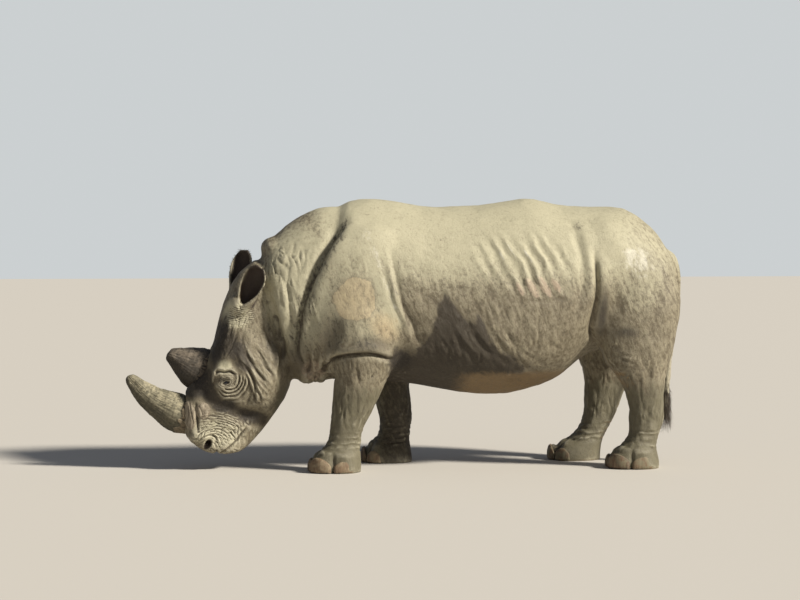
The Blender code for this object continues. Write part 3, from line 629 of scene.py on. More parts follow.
def lidded(points):
    """Lay the hide over the eyeballs: near an eye its height above the eye's middle runs
    into a sphere a lid thicker than the ball, and drops behind the ball in the slit."""
    points = points.copy()
    for name, side in SIDES:
        axes = eye_axes(side)
        local = (points - EYES[name]) @ axes.T
        near = np.flatnonzero((np.hypot(local[:, 0], local[:, 1]) < 0.06) & (local[:, 2] > -0.02))
        along, across, height = local[near].T
        radius = np.hypot(along, across)
        dome = np.sqrt((BALL + LID) ** 2 - np.minimum(radius, 0.8 * BALL) ** 2)
        height = dome + (height - dome) * ease(radius, 0.01, 0.044)
        gap = np.abs(across) / (SLIT[1] * np.maximum(1 - (along / SLIT[0]) ** 2, 0.02))
        gap = np.where(np.abs(along) < SLIT[0], gap, 9)
        oval = np.hypot(along / SLIT[0], across / SLIT[1])
        height += 0.0012 * np.exp(-((oval - 1.35) / 0.25) ** 2)
        for ring, deep in ((1.9, 0.002), (2.7, 0.0012)):
            height -= deep * np.exp(-((oval - ring) / 0.2) ** 2) * ease(-radius, -0.05, -0.03)
        height += (-0.004 - height) * (1 - ease(gap, 0.8, 1.2))
        points[near] = EYES[name] + np.stack([along, across, height], axis=1) @ axes
    return points


# bearing from straight ahead and half spread in degrees, height in metres
NAILS = {"inner": (-66, 22, 0.078), "middle": (0, 38, 0.092), "outer": (69, 25, 0.082)}
FOOT_TURN = {"foreleg_left": 42, "foreleg_right": 14, "hindleg_left": 38, "hindleg_right": 14}
FOOT_SQUARENESS = 2.3     # roundness of a foot seen from above, 2 for an ellipse
# front, rear, inner and outer edge of each foot
FEET = {"foreleg_left": (-0.648, -0.343, 0.128, 0.395), "foreleg_right": (-0.26, 0.04, 0.128, 0.395),
        "hindleg_left": (1.24, 1.552, 0.125, 0.392), "hindleg_right": (0.968, 1.282, 0.125, 0.392)}


def toed(points):
    """Raise the hide over each nail and press clefts between the nails, by the bearing of
    each corner about the middle of its foot."""
    lift = np.zeros(len(points))
    z = points[:, 2]
    for leg, (front, rear, inner, outer) in FEET.items():
        side = -1 if leg.endswith("left") else 1
        x = (points[:, 0] - (front + rear) / 2) / (rear - front) * 2
        y = (points[:, 1] - side * (inner + outer) / 2) / (outer - inner) * 2
        near = (np.hypot(x, y) < 1.6) & (z < 0.24) & (points[:, 1] * side > 0)
        bearing = (np.degrees(np.arctan2(side * y, -x)) - FOOT_TURN[leg] + 180) % 360 - 180
        for at, spread, height in NAILS.values():
            bulge = np.exp(-((bearing - at) / (0.85 * spread)) ** 2)
            lift += near * 0.017 * bulge * np.exp(-((z - height - 0.02) / 0.03) ** 2)
        for at in (-41, 41):
            cleft = np.exp(-((bearing - at) / 5.0) ** 2)
            lift -= near * 0.012 * cleft * ease(-z, -0.14, -0.08)
    return lift


set_points(hide.data, lidded(relief.points))
relief = Relief(hide.data)
relief.lift += toed(relief.points)
relief.apply()
relief.points[:, 2] = np.where(relief.points[:, 2] < 0.006, 0, relief.points[:, 2])
set_points(hide.data, relief.points)

# Corners away from the face's fine creases may be thinned out.
HIDE_TRIANGLES = 190000
fine = ((away_from(relief.points, EYE) < 0.095) | (away_from(relief.points, NOSTRIL) < 0.1)
        | (relief.mask((-1190, 140, 260), (160, 100, 130)) > 0.3)
        | (relief.mask((-1060, 160, 990), (100, 100, 90)) > 0.3))
hide.vertex_groups.new(name="plain").add(np.flatnonzero(~fine).tolist(), 1.0, "REPLACE")
triangles = sum(len(face.vertices) - 2 for face in hide.data.polygons)
with_modifier(hide, "DECIMATE", ratio=HIDE_TRIANGLES / triangles, vertex_group="plain",
              use_collapse_triangulate=True)
hide.vertex_groups.clear()
hide.data.shade_smooth()

# ---------------------------------------------------------------- finish of the hide
# Grey hide, dusty and pale where mud has dried on the back, shoulder and rump, with painted
# highlight down the shoulder and on the rib crests and rump; dark where it is damp along the
# lower flank, with painted shade there, in the depth of its folds and where the face and the
# limbs' roots turn from the light; and olive on the legs.


class Value:
    """A number, colour or vector of a finish; operators on it add the nodes for them."""

    def __init__(self, paint, socket):
        self.paint, self.socket = paint, socket

    def maths(self, operation, first, second=0.0):
        return self.paint.node("Math", {"operation": operation}, {0: first, 1: second})

    def size(self):
        """The number without its sign."""
        return self.maths("ABSOLUTE", self)

    def __add__(self, other):
        return self.maths("ADD", self, other)

    def __sub__(self, other):
        return self.maths("SUBTRACT", self, other)

    def __rsub__(self, other):
        return self.maths("SUBTRACT", other, self)

    def __mul__(self, other):
        return self.maths("MULTIPLY", self, other)

    __radd__ = __add__
    __rmul__ = __mul__

    def step(self, low, high):
        """0 below low, 1 above high, with a smooth step between them."""
        return self.paint.node("MapRange", {"interpolation_type": "SMOOTHSTEP"},
                               {"Value": self, "From Min": low, "From Max": high})


class Paint:
    """A finish: a material whose shader is fed by expressions on Values."""

    def __init__(self, name, **constants):
        self.material = bpy.data.materials.new(name)
        self.material.use_nodes = True
        self.tree = self.material.node_tree
        self.shader = self.tree.nodes["Principled BSDF"]
        for socket, value in constants.items():
            self.shader.inputs[socket.replace("_", " ")].default_value = value
        self.place = self.node("TexCoord", out="Object")

    def node(self, kind, settings=None, inputs=None, out=0):
        """A node of that type: its settings first, then the values or links of its sockets."""
        made = self.tree.nodes.new("ShaderNode" + kind)
        for name, value in (settings or {}).items():
            setattr(made, name, value)
        for key, value in (inputs or {}).items():
            socket = made.inputs[key]
            if isinstance(value, Value):
                self.tree.links.new(value.socket, socket)
            else:
                socket.default_value = (*value, 1) if socket.type == "RGBA" else value
        return Value(self, made.outputs[out])

    def noise(self, scale, detail=4.0, rough=0.55, at=None):
        return self.node("TexNoise", None, {"Vector": at or self.place, "Scale": scale,
                                            "Detail": detail, "Roughness": rough})

    def mark(self, name, out="Fac"):
        """A number, or with out="Vector" a place, kept at the corners of the piece's mesh."""
        return self.node("Attribute", {"attribute_name": name}, out=out)

    def stretched(self, at, x, y, z):
        return self.node("VectorMath", {"operation": "MULTIPLY"}, {0: at, 1: (x, y, z)})

    def blend(self, share, first, second):
        return self.node("Mix", {"data_type": "RGBA"}, {0: share, 6: first, 7: second}, out=2)

    def layers(self, colour, *rows):
        """The Base Color: a colour with others laid over it in turn, each by its share."""
        for share, over in rows:
            colour = self.blend(share, colour, over)
        self.feed("Base Color", colour)

    def feed(self, socket, value):
        self.tree.links.new(value.socket, self.shader.inputs[socket])

    def bump(self, height, distance):
        """Relief too fine for the mesh, its height in units of the distance in metres."""
        inputs = {"Height": height, "Distance": distance, "Strength": 1.0}
        self.feed("Normal", self.node("Bump", None, inputs))

    def coat(self, thing):
        thing.data.materials.clear()
        thing.data.materials.append(self.material)


def keep_marks(mesh, **marks):
    """Keep numbers or vectors at the corners of a mesh."""
    for name, values in marks.items():
        wide = values.ndim == 2
        data = mesh.attributes.new(name, "FLOAT_VECTOR" if wide else "FLOAT", "POINT")
        data.data.foreach_set("vector" if wide else "value", values.astype(np.float32).ravel())


def depth_marks(mesh, rounds=0):
    """How hollow (above 0) or ridged (below 0) the surface is at each corner: the bend
    towards its neighbours over the square of their distance, in units of 60 per metre,
    averaged with theirs, and 1 more where it lies well under the form rubbed down."""
    points, normals, edges = points_of(mesh), normals_of(mesh), edges_of(mesh)
    a, b = edges.T
    count = len(points)
    degree = np.bincount(a, minlength=count) + np.bincount(b, minlength=count)

    def mean(first, second):
        return (np.bincount(a, first, count) + np.bincount(b, second, count)) / degree

    run = points[b] - points[a]
    length = (run ** 2).sum(1)
    bend = 4 * mean((run * normals[a]).sum(1) / length, (-run * normals[b]).sum(1) / length) / 60
    for _ in range(2):
        bend = 0.4 * bend + 0.6 * mean(bend[b], bend[a])
    bend = np.clip(bend, -1.6, 1.6)
    if rounds:
        bend = bend + ease(((rubbed(mesh, rounds, pull=0.0) - points) * normals).sum(1), 0.004, 0.0128)
    return bend


def about_ear(side):
    """Where the hide's corners lie about an ear: their share of its length, the way to them
    from its axis, and how far that goes to its front and across it."""
    base, length, axis, front, across = ear_axes(side)
    ray = surface.points - base
    off = ray - np.outer(ray @ axis, axis)
    return ray @ axis / length, off, off @ front, off @ across


surface = Relief(hide.data)
mask, stroke = surface.mask, surface.stroke
x, y, z = surface.points.T
crests = (0.5 + 0.5 * np.cos(2 * np.pi * ribs_at(x, z))) ** 2
# Pale dried mud on the back, neck, shoulder, rump, muzzle and brow; the stroke down the shoulder's rear edge
# is painted highlight.
dust = np.maximum.reduce([
    ease(z, 1.0, 1.4) * ease(x, -0.75, -0.45) * (1 - 0.45 * ease(x, 1.2, 1.5)),
    0.95 * mask((-720, 250, 1180), (300, 400, 550)),
    0.55 * mask((-380, 350, 1100), (340, 300, 480)),
    stroke([(-360, 1500), (-270, 1300), (-200, 1100), (-130, 930)], (160, 160, 140, 100)),
    0.5 * mask((1400, 300, 1250), (280, 350, 360)),
    0.75 * mask((-1220, 150, 230), (200, 150, 120)),
    0.95 * mask((-1170, 180, 655), (60, 80, 60)),
    0.85 * mask((-1100, 160, 980), (130, 140, 130))])
mud_line = np.interp(x, (0, 0.07, 0.13, 0.17, 0.22, 0.285, 0.38, 0.435, 0.5, 0.635, 0.72, 0.95),
                     (0.75, 0.82, 1.02, 1.1, 1.06, 0.97, 0.95, 0.85, 0.745, 0.685, 0.635, 0.52))
edge_noise = 0.05 * mottle(surface.points * (1, 1, 0.45) + 0.4 * z[:, None] * (1, 0, 0), 0.05, 91)
face = stroke(*FACE_HOLLOW)
# Damp mud and painted shade: the lower flank's dark band, stronger on the left side, and painted shade on the
# temple, in the face's hollow before the eye, along the neck crease, about the shoulder's lower edge and
# behind the head.
near_side = np.where(y < 0, 1.15, 0.7)
damp = np.maximum.reduce([
    near_side * ease(mud_line - z + edge_noise, -0.07, 0.08) * ease(x, -0.22, -0.1) * ease(-x, -1.1, -0.95),
    0.9 * mask((1030, 320, 1530), (70, 100, 50), soft=0.9),
    stroke([(-1220, 870), (-1150, 810), (-1080, 740), (-1050, 660)], (140, 140, 120, 80)),
    0.9 * ease(face, 0.0, 0.9),
    0.5 * stroke([(-410, 1560), (-490, 1420), (-580, 1260), (-670, 1080), (-720, 880), (-710, 660)],
                  (30, 55, 85, 120, 150, 150)),
    0.55 * mask((-500, 360, 880), (160, 300, 220), 10, 0.9),
    0.6 * mask((-860, 200, 800), (100, 200, 300), -12, 0.9),
    0.6 * mask((-300, 400, 800), (240, 300, 100), soft=0.9)])
# Painted shade, near black: on the face's front, below the eye and on the lower cheek, on the forehead, under
# the brow at the eye's front corner, in the armpit, before the thigh and on the stifle.
soot = np.maximum.reduce([
    1.1 * mask((-1360, 50, 545), (160, 300, 130), 10, 0.6),
    mask((-1165, 180, 408), (110, 200, 58), -8, 0.8),
    0.9 * mask((-1005, 180, 340), (130, 200, 60), 12, 0.8),
    0.85 * mask((-1215, 120, 735), (75, 220, 170), 12, 0.9),
    0.85 * mask((-1170, 100, 880), (55, 220, 160), 12, 0.9),
    0.55 * mask((-1100, 180, 760), (80, 150, 110), -12, 0.9),
    0.8 * mask((EYE_X - 30, 180, EYE_Z + 18), (30, 100, 36), soft=0.9),
    0.9 * mask((-100, 300, 700), (140, 200, 120), soft=0.9),
    0.7 * mask((1180, 360, 980), (55, 200, 280), 4, 0.9),
    0.6 * mask((1330, 360, 860), (160, 200, 70), soft=0.9)])
mire = ease(-z, -0.66, -0.4) * (x > -0.85)
patch = mask((-380, 400, 1085), (215, 500, 220), 15, 1.0, both=False)
tan = 0.9 * mask((-200, 400, 910), (220, 500, 160), 35, 1.0, both=False)
rosy = np.maximum(mask((760, 450, 1150), (240, 250, 105), soft=0.7) * (0.45 + 0.75 * crests),
                  0.6 * mask((-620, 200, 620), (120, 200, 120)))
# Pale scuffs and painted highlight: on the rump, along the rib crests, down the shoulder's ridge and beside
# the flank fold.
scuff = np.maximum.reduce([
    1.05 * mask((1400, 400, 1300), (250, 400, 200), 38, 0.8),
    0.95 * mask((620, 400, 1340), (400, 300, 200), soft=0.8) * crests,
    0.9 * stroke([(-300, 1480), (-210, 1240), (-130, 1040), (-50, 860)], (130, 100, 75, 50)),
    0.7 * stroke([(1100, 1100), (1100, 950), (1060, 820), (980, 700)], (30, 40, 40, 30))])
# Painted shade in the nostrils and inside the ear cups.
hollow = mask((NOSTRIL_X, 120, NOSTRIL_Z), (30, 100, 48), 32, 0.6)
for side, _ in SIDES:
    share, off, ahead, _ = about_ear(side)
    cup = (surface.normals @ ear_axes(side)[3] > 0.0) & (share > 0.15) & (share < 1.02)
    aside = np.linalg.norm(off, axis=1)
    hollow = np.maximum(hollow, cup * 0.85 * ease(0.03 - ahead, 0.0, 0.03) * ease(-aside, -0.08, -0.05))
lappet = np.maximum(*(mask(*place, soft=0.35) for place in LAPPETS))
belly = ease(-surface.normals[:, 2], 0.2, 0.7) * ease(-z, -0.66, -0.58) * ease(x, 0.15, 0.42)
keep_marks(hide.data, lappet=lappet, dip=depth_marks(hide.data, 12), dust=dust, damp=damp, soot=soot,
           mire=mire, patch=patch, tan=tan, rosy=rosy, scuff=scuff, hollow=hollow, belly=belly)

skin = Paint("dusty hide", Specular_IOR_Level=0.42)
broad = skin.noise(2.6, 5)
blotch = skin.noise(8.0, 6, 0.65)
grain = skin.noise(46.0, 5, 0.68)
speck = skin.noise(170.0, 4, 0.65)
bent = skin.node("VectorMath", {"operation": "MULTIPLY_ADD"},
                 {0: skin.node("TexNoise", None, {"Vector": skin.place, "Scale": 16.0, "Detail": 3.0}, out=1),
                  1: (0.035, 0.035, 0.035), 2: skin.place})
leaning = skin.node("VectorRotate", {"rotation_type": "Y_AXIS"}, {"Vector": bent, "Angle": 0.38})
run = skin.noise(30.0, 5, 0.66, skin.stretched(leaning, 1.6, 1.6, 0.32))
line = (skin.noise(34.0, 4, 0.55, skin.stretched(leaning, 2.0, 2.0, 0.5)) - 0.5).size().step(0.0, 0.04)
net = (skin.noise(62.0, 3, 0.5, bent) - 0.5).size().step(0.0, 0.05)
cells = skin.node("TexVoronoi", {"feature": "DISTANCE_TO_EDGE"}, {"Vector": bent, "Scale": 170.0}, "Distance")
pebbles = cells.step(0.0, 0.22)
dip = skin.mark("dip") + (grain - 0.5) * 0.5
rough = (run - 0.5) * 1.1 + (grain - 0.5) * 0.7
dusty = (skin.mark("dust") + (blotch - 0.5) * 0.4 + (broad - 0.5) * 0.5 + rough).step(0.02, 1.0)
damped = (skin.mark("damp") + (blotch - 0.5) * 0.5 + rough * 1.6).step(0.15, 0.85)
sooty = (skin.mark("soot") + rough * 0.5).step(0.05, 0.8)
rows = (skin.mark("rosy") * (0.3 + 1.3 * grain)).step(0.4, 0.7)
flecks = skin.noise(17.0, 7, 0.72, skin.stretched(leaning, 1.5, 1.0, 0.8))
scuffs = (skin.mark("scuff") * flecks).step(0.38, 0.6)
caked = skin.mark("patch") + (skin.noise(5.5, 6, 0.6) - 0.5) * 0.8
fray = skin.noise(90.0, 4, 0.6, skin.stretched(skin.place, 1.0, 1.0, 0.15))
skin.layers(
    skin.blend((blotch * 0.5 + 0.25 + rough * 1.3).step(0.2, 0.8), (0.12, 0.097, 0.06), (0.27, 0.234, 0.158)),
    # pale dried mud, and painted highlight down the shoulder
    (dusty * 0.88, (0.445, 0.412, 0.282)),
    ((skin.mark("mire") + rough * 1.3).step(0.3, 0.9) * 0.76, (0.112, 0.101, 0.06)),
    # damp mud and painted shade
    (damped * 0.9, (0.03, 0.022, 0.014)),
    ((skin.mark("belly") + rough * 0.6).step(0.2, 1.0) * 0.85, (0.23, 0.155, 0.075)),
    # painted shade
    (sooty * 0.93, (0.022, 0.017, 0.012)),
    ((skin.mark("tan") + rough * 0.8).step(0.2, 0.9) * 0.55, (0.42, 0.32, 0.18)),
    (rows * 0.45, (0.46, 0.34, 0.25)),
    # pale scuffs and painted highlight
    (scuffs * (0.35 + run * 0.7), (0.6, 0.57, 0.47)),
    (caked.step(0.24, 0.33) * 0.38, (0.17, 0.136, 0.086)),
    (caked.step(0.32, 0.36) * (0.52 + (run - 0.5) * 1.8), (0.5, 0.405, 0.25)),
    # painted shade in the depth of the folds, and their crests paler with dust and painted highlight
    (dip.step(0.05, 1.0) * 0.78, (0.055, 0.042, 0.027)),
    ((0.0 - dip).step(0.12, 0.8) * (0.48 - damped * 0.3 - sooty * 0.25), (0.49, 0.45, 0.335)),
    # fine lines and grain
    ((1.0 - line) * blotch.step(0.3, 0.6) * (0.38 - dusty * 0.26), (0.085, 0.068, 0.045)),
    ((1.0 - net) * 0.1, (0.09, 0.074, 0.05)),
    ((0.5 - grain).step(0.03, 0.2) * (0.4 - dusty * 0.28), (0.09, 0.072, 0.048)),
    ((speck - 0.5).step(0.05, 0.2) * dusty * 0.3, (0.5, 0.455, 0.34)),
    # the lappets' fibres, and painted shade in the hollows of nostrils and ears
    ((skin.mark("lappet") + (grain - 0.5) * 0.4).step(0.3, 0.5) * 0.85,
     skin.blend(fray.step(0.3, 0.62), (0.13, 0.1, 0.068), (0.34, 0.285, 0.205))),
    (skin.mark("hollow").step(0.1, 0.8) * 0.95, (0.03, 0.018, 0.012)))
skin.feed("Roughness", 0.52 + blotch * 0.25 + (grain - 0.5) * 0.3)
skin.bump(pebbles * 0.18 + line * 0.45 + net * 0.22 + grain * 1.1 + speck * 0.4 + run * 1.5, 0.0013)
skin.coat(hide)
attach(hide, "root")
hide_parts(*FLESH, "ear_left", "ear_right")

# ---------------------------------------------------------------- ear fringes and tail bristles
# A rhinoceros is bare but for short dark hairs on the rims of its ears and a fringe of stiff
# bristles down both edges of its tail's end.  Each tuft is three tapering solid blades.
BLADES = 3                # in a tuft
PATCH = 0.003             # width of a tuft's patch in its bake map


def tufts(name, roots, aims, drop, lengths, radius, spread, seed, unwrap):
    """Blades along parabolas: a point at share t is root + length (aim t + drop t t / 2),
    with a three-sided section that narrows to a point as the square root of 1 - t."""
    random = np.random.default_rng(seed)
    count = len(roots) * BLADES
    aims = np.repeat(aims, BLADES, axis=0) + spread * random.normal(size=(count, 3))
    aims /= np.linalg.norm(aims, axis=1)[:, None]
    reach = (np.repeat(lengths, BLADES) * random.uniform(0.6, 1.0, count))[:, None]
    start = np.repeat(roots, BLADES, axis=0) + 2 * radius * random.normal(size=(count, 3))
    across = np.cross(aims, (0.3, 1.0, 0.2))
    across /= np.linalg.norm(across, axis=1)[:, None]
    other = np.cross(aims, across)
    levels = np.array((-0.05, 0.25, 0.5, 0.75, 0.92))
    turn = 2 * np.pi * np.arange(3) / 3
    way = aims[:, None] * levels[:, None] + drop * levels[:, None] ** 2 / 2
    stem = start[:, None] + reach[:, None] * way
    thick = radius * np.sqrt(1 - np.clip(levels, 0, 1))[:, None]
    round_about = np.cos(turn)[:, None] * across[:, None, None] + np.sin(turn)[:, None] * other[:, None, None]
    rings = stem[:, :, None] + thick[..., None] * round_about
    tips = start + reach * (aims + drop / 2)
    points = np.concatenate([rings.reshape(count, -1, 3), tips[:, None]], axis=1)
    corner, after, walls = tube(len(levels), 3)
    end = np.full(3, len(levels) * 3)
    caps = np.vstack([np.stack([corner[-1], after[-1], end], axis=1), corner[0][None, ::-1]])
    first = np.arange(count)[:, None, None] * points.shape[1]
    mesh = mesh_of(name, points, (walls + first).reshape(-1, 4), (caps + first).reshape(-1, 3))
    corners = np.empty(len(mesh.loops), dtype=np.int64)
    mesh.loops.foreach_get("vertex_index", corners)
    blade, place = corners // points.shape[1], corners % points.shape[1]
    within = np.stack([place % 3 / 2, np.minimum(place // 3, 4) / 4], axis=1) - 0.5
    patches = unwrap[blade // BLADES] + PATCH * within
    mesh.uv_layers.new(name="OFBake").data.foreach_set("uv", patches.ravel())
    mesh.shade_smooth()
    return placed(name, mesh)


def chosen_roots(where, count, seed):
    """A fixed random choice of the hide's corners to grow tufts from."""
    return np.random.default_rng(seed).permutation(np.flatnonzero(where))[:count]


bristle = Paint("dark bristle", Specular_IOR_Level=0.4)
shade = bristle.noise(60.0, 3)
bristle.layers(bristle.blend(shade.step(0.35, 0.65), (0.026, 0.019, 0.012), (0.085, 0.062, 0.04)))
bristle.feed("Roughness", shade * 0.2 + 0.45)
for number, (name, side) in enumerate(SIDES):
    _, _, axis, front, _ = ear_axes(name)
    share, off, ahead, across = about_ear(name)
    wide = EAR_HALF_WIDTH * np.interp(share, EAR_LEVELS, EAR_SPREAD)
    rim = ((share > 0.45) & (share < 1.05) & (np.linalg.norm(off, axis=1) < 0.1)
           & ((np.abs(across) > 0.86 * wide) | (share > 0.95)) & (ahead > -0.02))
    roots = chosen_roots(rim, 130, 101 + number)
    outward = off[roots] / np.linalg.norm(off[roots], axis=1)[:, None]
    aims = 0.8 * outward + 0.5 * axis + 0.35 * front
    lap = np.arctan2(across[roots], ahead[roots]) / (2 * np.pi) + 0.5
    unwrap = np.stack([0.05 + 0.4 * lap + 0.5 * number, 0.05 + 0.85 * share[roots]], axis=1)
    fringe = tufts("ear_fringe_" + name, surface.points[roots], aims, np.array((0, 0, -0.25)),
                   0.007 + 0.012 * ease(share[roots], 0.5, 1.0), 0.00036, 0.25, 111 + number, unwrap)
    bristle.coat(fringe)
    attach(fringe, "root")

low, high = (np.array(corner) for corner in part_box("tail"))
middle, rise = (low[1] + high[1]) / 2, z - low[2]
end = (x > 1.58) & (np.abs(y - middle) < 0.06) & (rise > -0.01)
end &= rise < 0.1 + 0.12 * (mottle(surface.points, 0.02, 92) + 0.6)
roots = chosen_roots(end & (x > low[0] - 0.01) & (rise < 0.24), 260, 121)
aims = 0.3 * surface.normals[roots] + np.array((0.05, 0, -1.0))
lap = np.arctan2(y[roots] - middle, x[roots] - x[roots].mean()) / (2 * np.pi) + 0.5
unwrap = np.stack([0.05 + 0.9 * lap, 0.05 + 4.0 * rise[roots]], axis=1)
bristles = tufts("tail_bristles", surface.points[roots], aims, np.array((0, 0, -0.3)),
                 0.055 + 0.055 * ease(-rise[roots], -0.16, 0.0), 0.0007, 0.1, 122, unwrap)
bristle.coat(bristles)
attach(bristles, "root")

# ---------------------------------------------------------------- horns
# Both horns are cones of packed fibre that grow from the hide of the nose, with no bone
# inside.  They are ridged lengthwise, split into a skirt at the root and worn at the tip.
FRONT_HORN = ((-1.362, 0.322, 0.1, 0.096), (-1.452, 0.352, 0.122, 0.106), (-1.522, 0.385, 0.11, 0.094),
              (-1.597, 0.428, 0.09, 0.074), (-1.672, 0.487, 0.066, 0.056), (-1.732, 0.545, 0.044, 0.04),
              (-1.758, 0.576, 0.03, 0.028), (-1.768, 0.59, 0.014, 0.014))
REAR_HORN = ((-1.277, 0.608, 0.142, 0.086), (-1.347, 0.64, 0.134, 0.09), (-1.402, 0.668, 0.108, 0.078),
             (-1.452, 0.692, 0.076, 0.06), (-1.492, 0.712, 0.05, 0.044), (-1.514, 0.722, 0.034, 0.03),
             (-1.523, 0.727, 0.016, 0.016))     # x, z, half thickness, half width
TIP_DOME = 0.01          # the last stretch closes in a dome


def horn_form(name, stations, grid, seed, skirt):
    """Ellipses carried along a smooth curve through the stations and closed in a dome; the
    radius rises and falls with noise drawn out along the horn (fibres), drawn out around
    it (growth rings) and even in all directions (lumps), with slits through the skirt."""
    rows, around = grid
    path = smooth_path(stations, 20)
    passed = np.concatenate([[0], np.cumsum(np.linalg.norm(np.diff(path[:, :2], axis=0), axis=1))])
    s = passed[-1] * np.linspace(0, 1, rows) ** 0.92
    x, z, thick, wide = (np.interp(s, passed, column) for column in path.T)
    heading = np.stack([np.gradient(x, s), np.gradient(z, s)], axis=1)
    heading /= np.linalg.norm(heading, axis=1)[:, None]
    left = np.clip((passed[-1] - s) / TIP_DOME, 0, 1)
    dome = np.sqrt(1 - (1 - left) ** 2)
    turn = np.linspace(0, 2 * np.pi, around, endpoint=False)
    lie = np.stack(np.broadcast_arrays(0.09 * np.cos(turn), 0.09 * np.sin(turn), s[:, None]), axis=-1)
    flat = lie.reshape(-1, 3)

    def form(size, number, *stretch):
        return mottle(flat / np.array(stretch), size, seed + number).reshape(rows, around)

    away = np.minimum(1, (dome * thick / thick[0])[:, None] * 2.5)
    fibre = 0.0012 * form(0.009, 1, 1, 1, 9) + 0.0012 * form(0.022, 2, 1, 1, 6)
    growth = 0.0018 * form(0.018, 3, 4, 4, 1) + 0.007 * form(0.06, 4, 1, 1, 1.4)
    edge = skirt + 0.03 * mottle(flat[:around], 0.035, seed + 5)
    over = ease(edge[None] - s[:, None], 0.0, 0.01)
    slits = np.exp(-(mottle(flat[:around], 0.04, seed + 6) / 0.07) ** 2)
    lift = away * (fibre * (1 + over) + growth) + over * (0.006 - 0.01 * slits[None])
    nicks = ease(form(0.02, 7, 1, 1, 1.6), 0.55, 0.75)
    lift = lift - 0.003 * nicks * away
    a = (thick[:, None] + lift) * dome[:, None]
    b = (wide[:, None] + lift) * dome[:, None]
    ring = np.stack([x[:, None] - a * np.cos(turn) * heading[:, 1:],
                     b * np.sin(turn),
                     z[:, None] + a * np.cos(turn) * heading[:, :1]], axis=-1)
    mesh = ring_solid(name, ring)
    ends = np.array([[0, 0, s[0]], [0, 0, s[-1]]])
    keep_marks(mesh, lie=np.vstack([flat, ends]), skirt=np.append(over.ravel(), (1, 0)),
               nick=np.append(nicks.ravel(), (0, 0)))
    mesh.shade_smooth()
    return placed(name, mesh)


def horn_finish(name, body, pale, skirt):
    """Streaks along the fibres, pale scuffed patches, dark pits and a paler skirt, with painted shade along
    the underside and in the hollows.
    """
    paint = Paint(name, Specular_IOR_Level=0.3)
    lie = paint.mark("lie", "Vector")
    streak = paint.noise(140.0, 5, 0.6, paint.stretched(lie, 1, 1, 0.1))
    patchy = paint.noise(16.0, 5, 0.6)
    spots = paint.noise(60.0, 4, 0.7)
    under = paint.node("SeparateXYZ", None, {0: lie})
    darker, dark, darkest = (tuple(share * c for c in body) for share in (0.75, 0.3, 0.25))
    paint.layers(
        paint.blend(streak.step(0.3, 0.65), darker, body),
        ((patchy + (streak - 0.5) * 0.4 + (spots - 0.5) * 0.4).step(0.42, 0.66) * 0.75, pale),
        # painted shade along the horn's underside
        ((under * 11.0 + (patchy - 0.5) * 1.2).step(-0.2, 0.8) * 0.8, dark),
        ((paint.mark("skirt") + (spots - 0.5) * 0.4).step(0.4, 0.7) * 0.75, skirt),
        (paint.mark("nick") * 0.6, pale),
        ((0.47 - spots).step(0.0, 0.1) * 0.45, dark),
        # painted shade in the horn's hollows
        (paint.mark("dip").step(0.15, 1.0) * 0.5, darkest))
    paint.feed("Roughness", 0.55 + patchy * 0.35)
    paint.bump(streak + spots * 0.5, 0.0012)
    return paint


front_horn = horn_form("front_horn", FRONT_HORN, (190, 240), 61, 0.085)
rear_horn = horn_form("rear_horn", REAR_HORN, (130, 220), 71, 0.05)
grey_green = horn_finish("grey-green horn", (0.165, 0.148, 0.098), (0.38, 0.335, 0.225), (0.2, 0.155, 0.1))
# The rear horn's darker finish is painted shade: it is the same fibre as the front horn, darkened as if in
# shadow.
dark = horn_finish("dark horn", (0.085, 0.072, 0.056), (0.19, 0.155, 0.115), (0.1, 0.08, 0.058))
for horn, node, finish in ((front_horn, "horn_front", grey_green), (rear_horn, "horn_rear", dark)):
    keep_marks(horn.data, dip=depth_marks(horn.data))
    finish.coat(horn)
    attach(horn, "root")
    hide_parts(node)

# ---------------------------------------------------------------- eyeballs
# Dark wet balls behind the lids: a brown iris about a round pupil, under a clear bulge.
for name, side in SIDES:
    polar = np.linspace(0.02, np.pi - 0.02, 56)
    turn = np.linspace(0, 2 * np.pi, 72, endpoint=False)
    fore, up, out = eye_axes(side)
    radius = BALL * (1 + 0.05 * np.exp(-(polar / 0.5) ** 2))
    rings = (np.cos(polar) * radius)[:, None, None] * out + (np.sin(polar) * radius)[:, None, None] * (
        np.cos(turn)[:, None] * fore + np.sin(turn)[:, None] * up)
    eyeball = placed("eyeball_" + name, ring_solid("eyeball_" + name, EYES[name] + rings))
    keep_marks(eyeball.data, polar=np.append(np.repeat(polar, 72), (0, np.pi)))
    eyeball.data.shade_smooth()
    wet = Paint("wet eye " + name, Coat_Weight=1.0, Coat_Roughness=0.03, Specular_IOR_Level=0.5)
    pupil = wet.blend(wet.mark("polar").step(0.26, 0.3), (0.003, 0.003, 0.003), (0.016, 0.009, 0.005))
    wet.layers(pupil, (wet.mark("polar").step(0.58, 0.66), (0.014, 0.01, 0.008)))
    wet.feed("Roughness", wet.noise(30.0) * 0.1 + 0.08)
    wet.coat(eyeball)
    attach(eyeball, "root")
    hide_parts("eye_" + name)

# ---------------------------------------------------------------- nails
# Three broad nails of horn let into the rim of every foot, worn and chipped below.
NAIL_THICKNESS = 0.034
NAIL_CLEARANCE = 0.004
NAIL_PROFILE = ((-0.5, 0), (0, 0), (0.42, 0.01), (0.55, 0.14), (0.57, 0.3), (0.52, 0.55), (0.38, 0.78),
                (0.2, 0.93), (0, 0.985), (-0.22, 1), (-0.5, 0.8), (-0.5, 0.4))


def signed_power(value, squareness):
    """Superellipse term: the sign of a value times its size to the power 2 / squareness."""
    return np.sign(value) * np.abs(value) ** (2 / squareness)


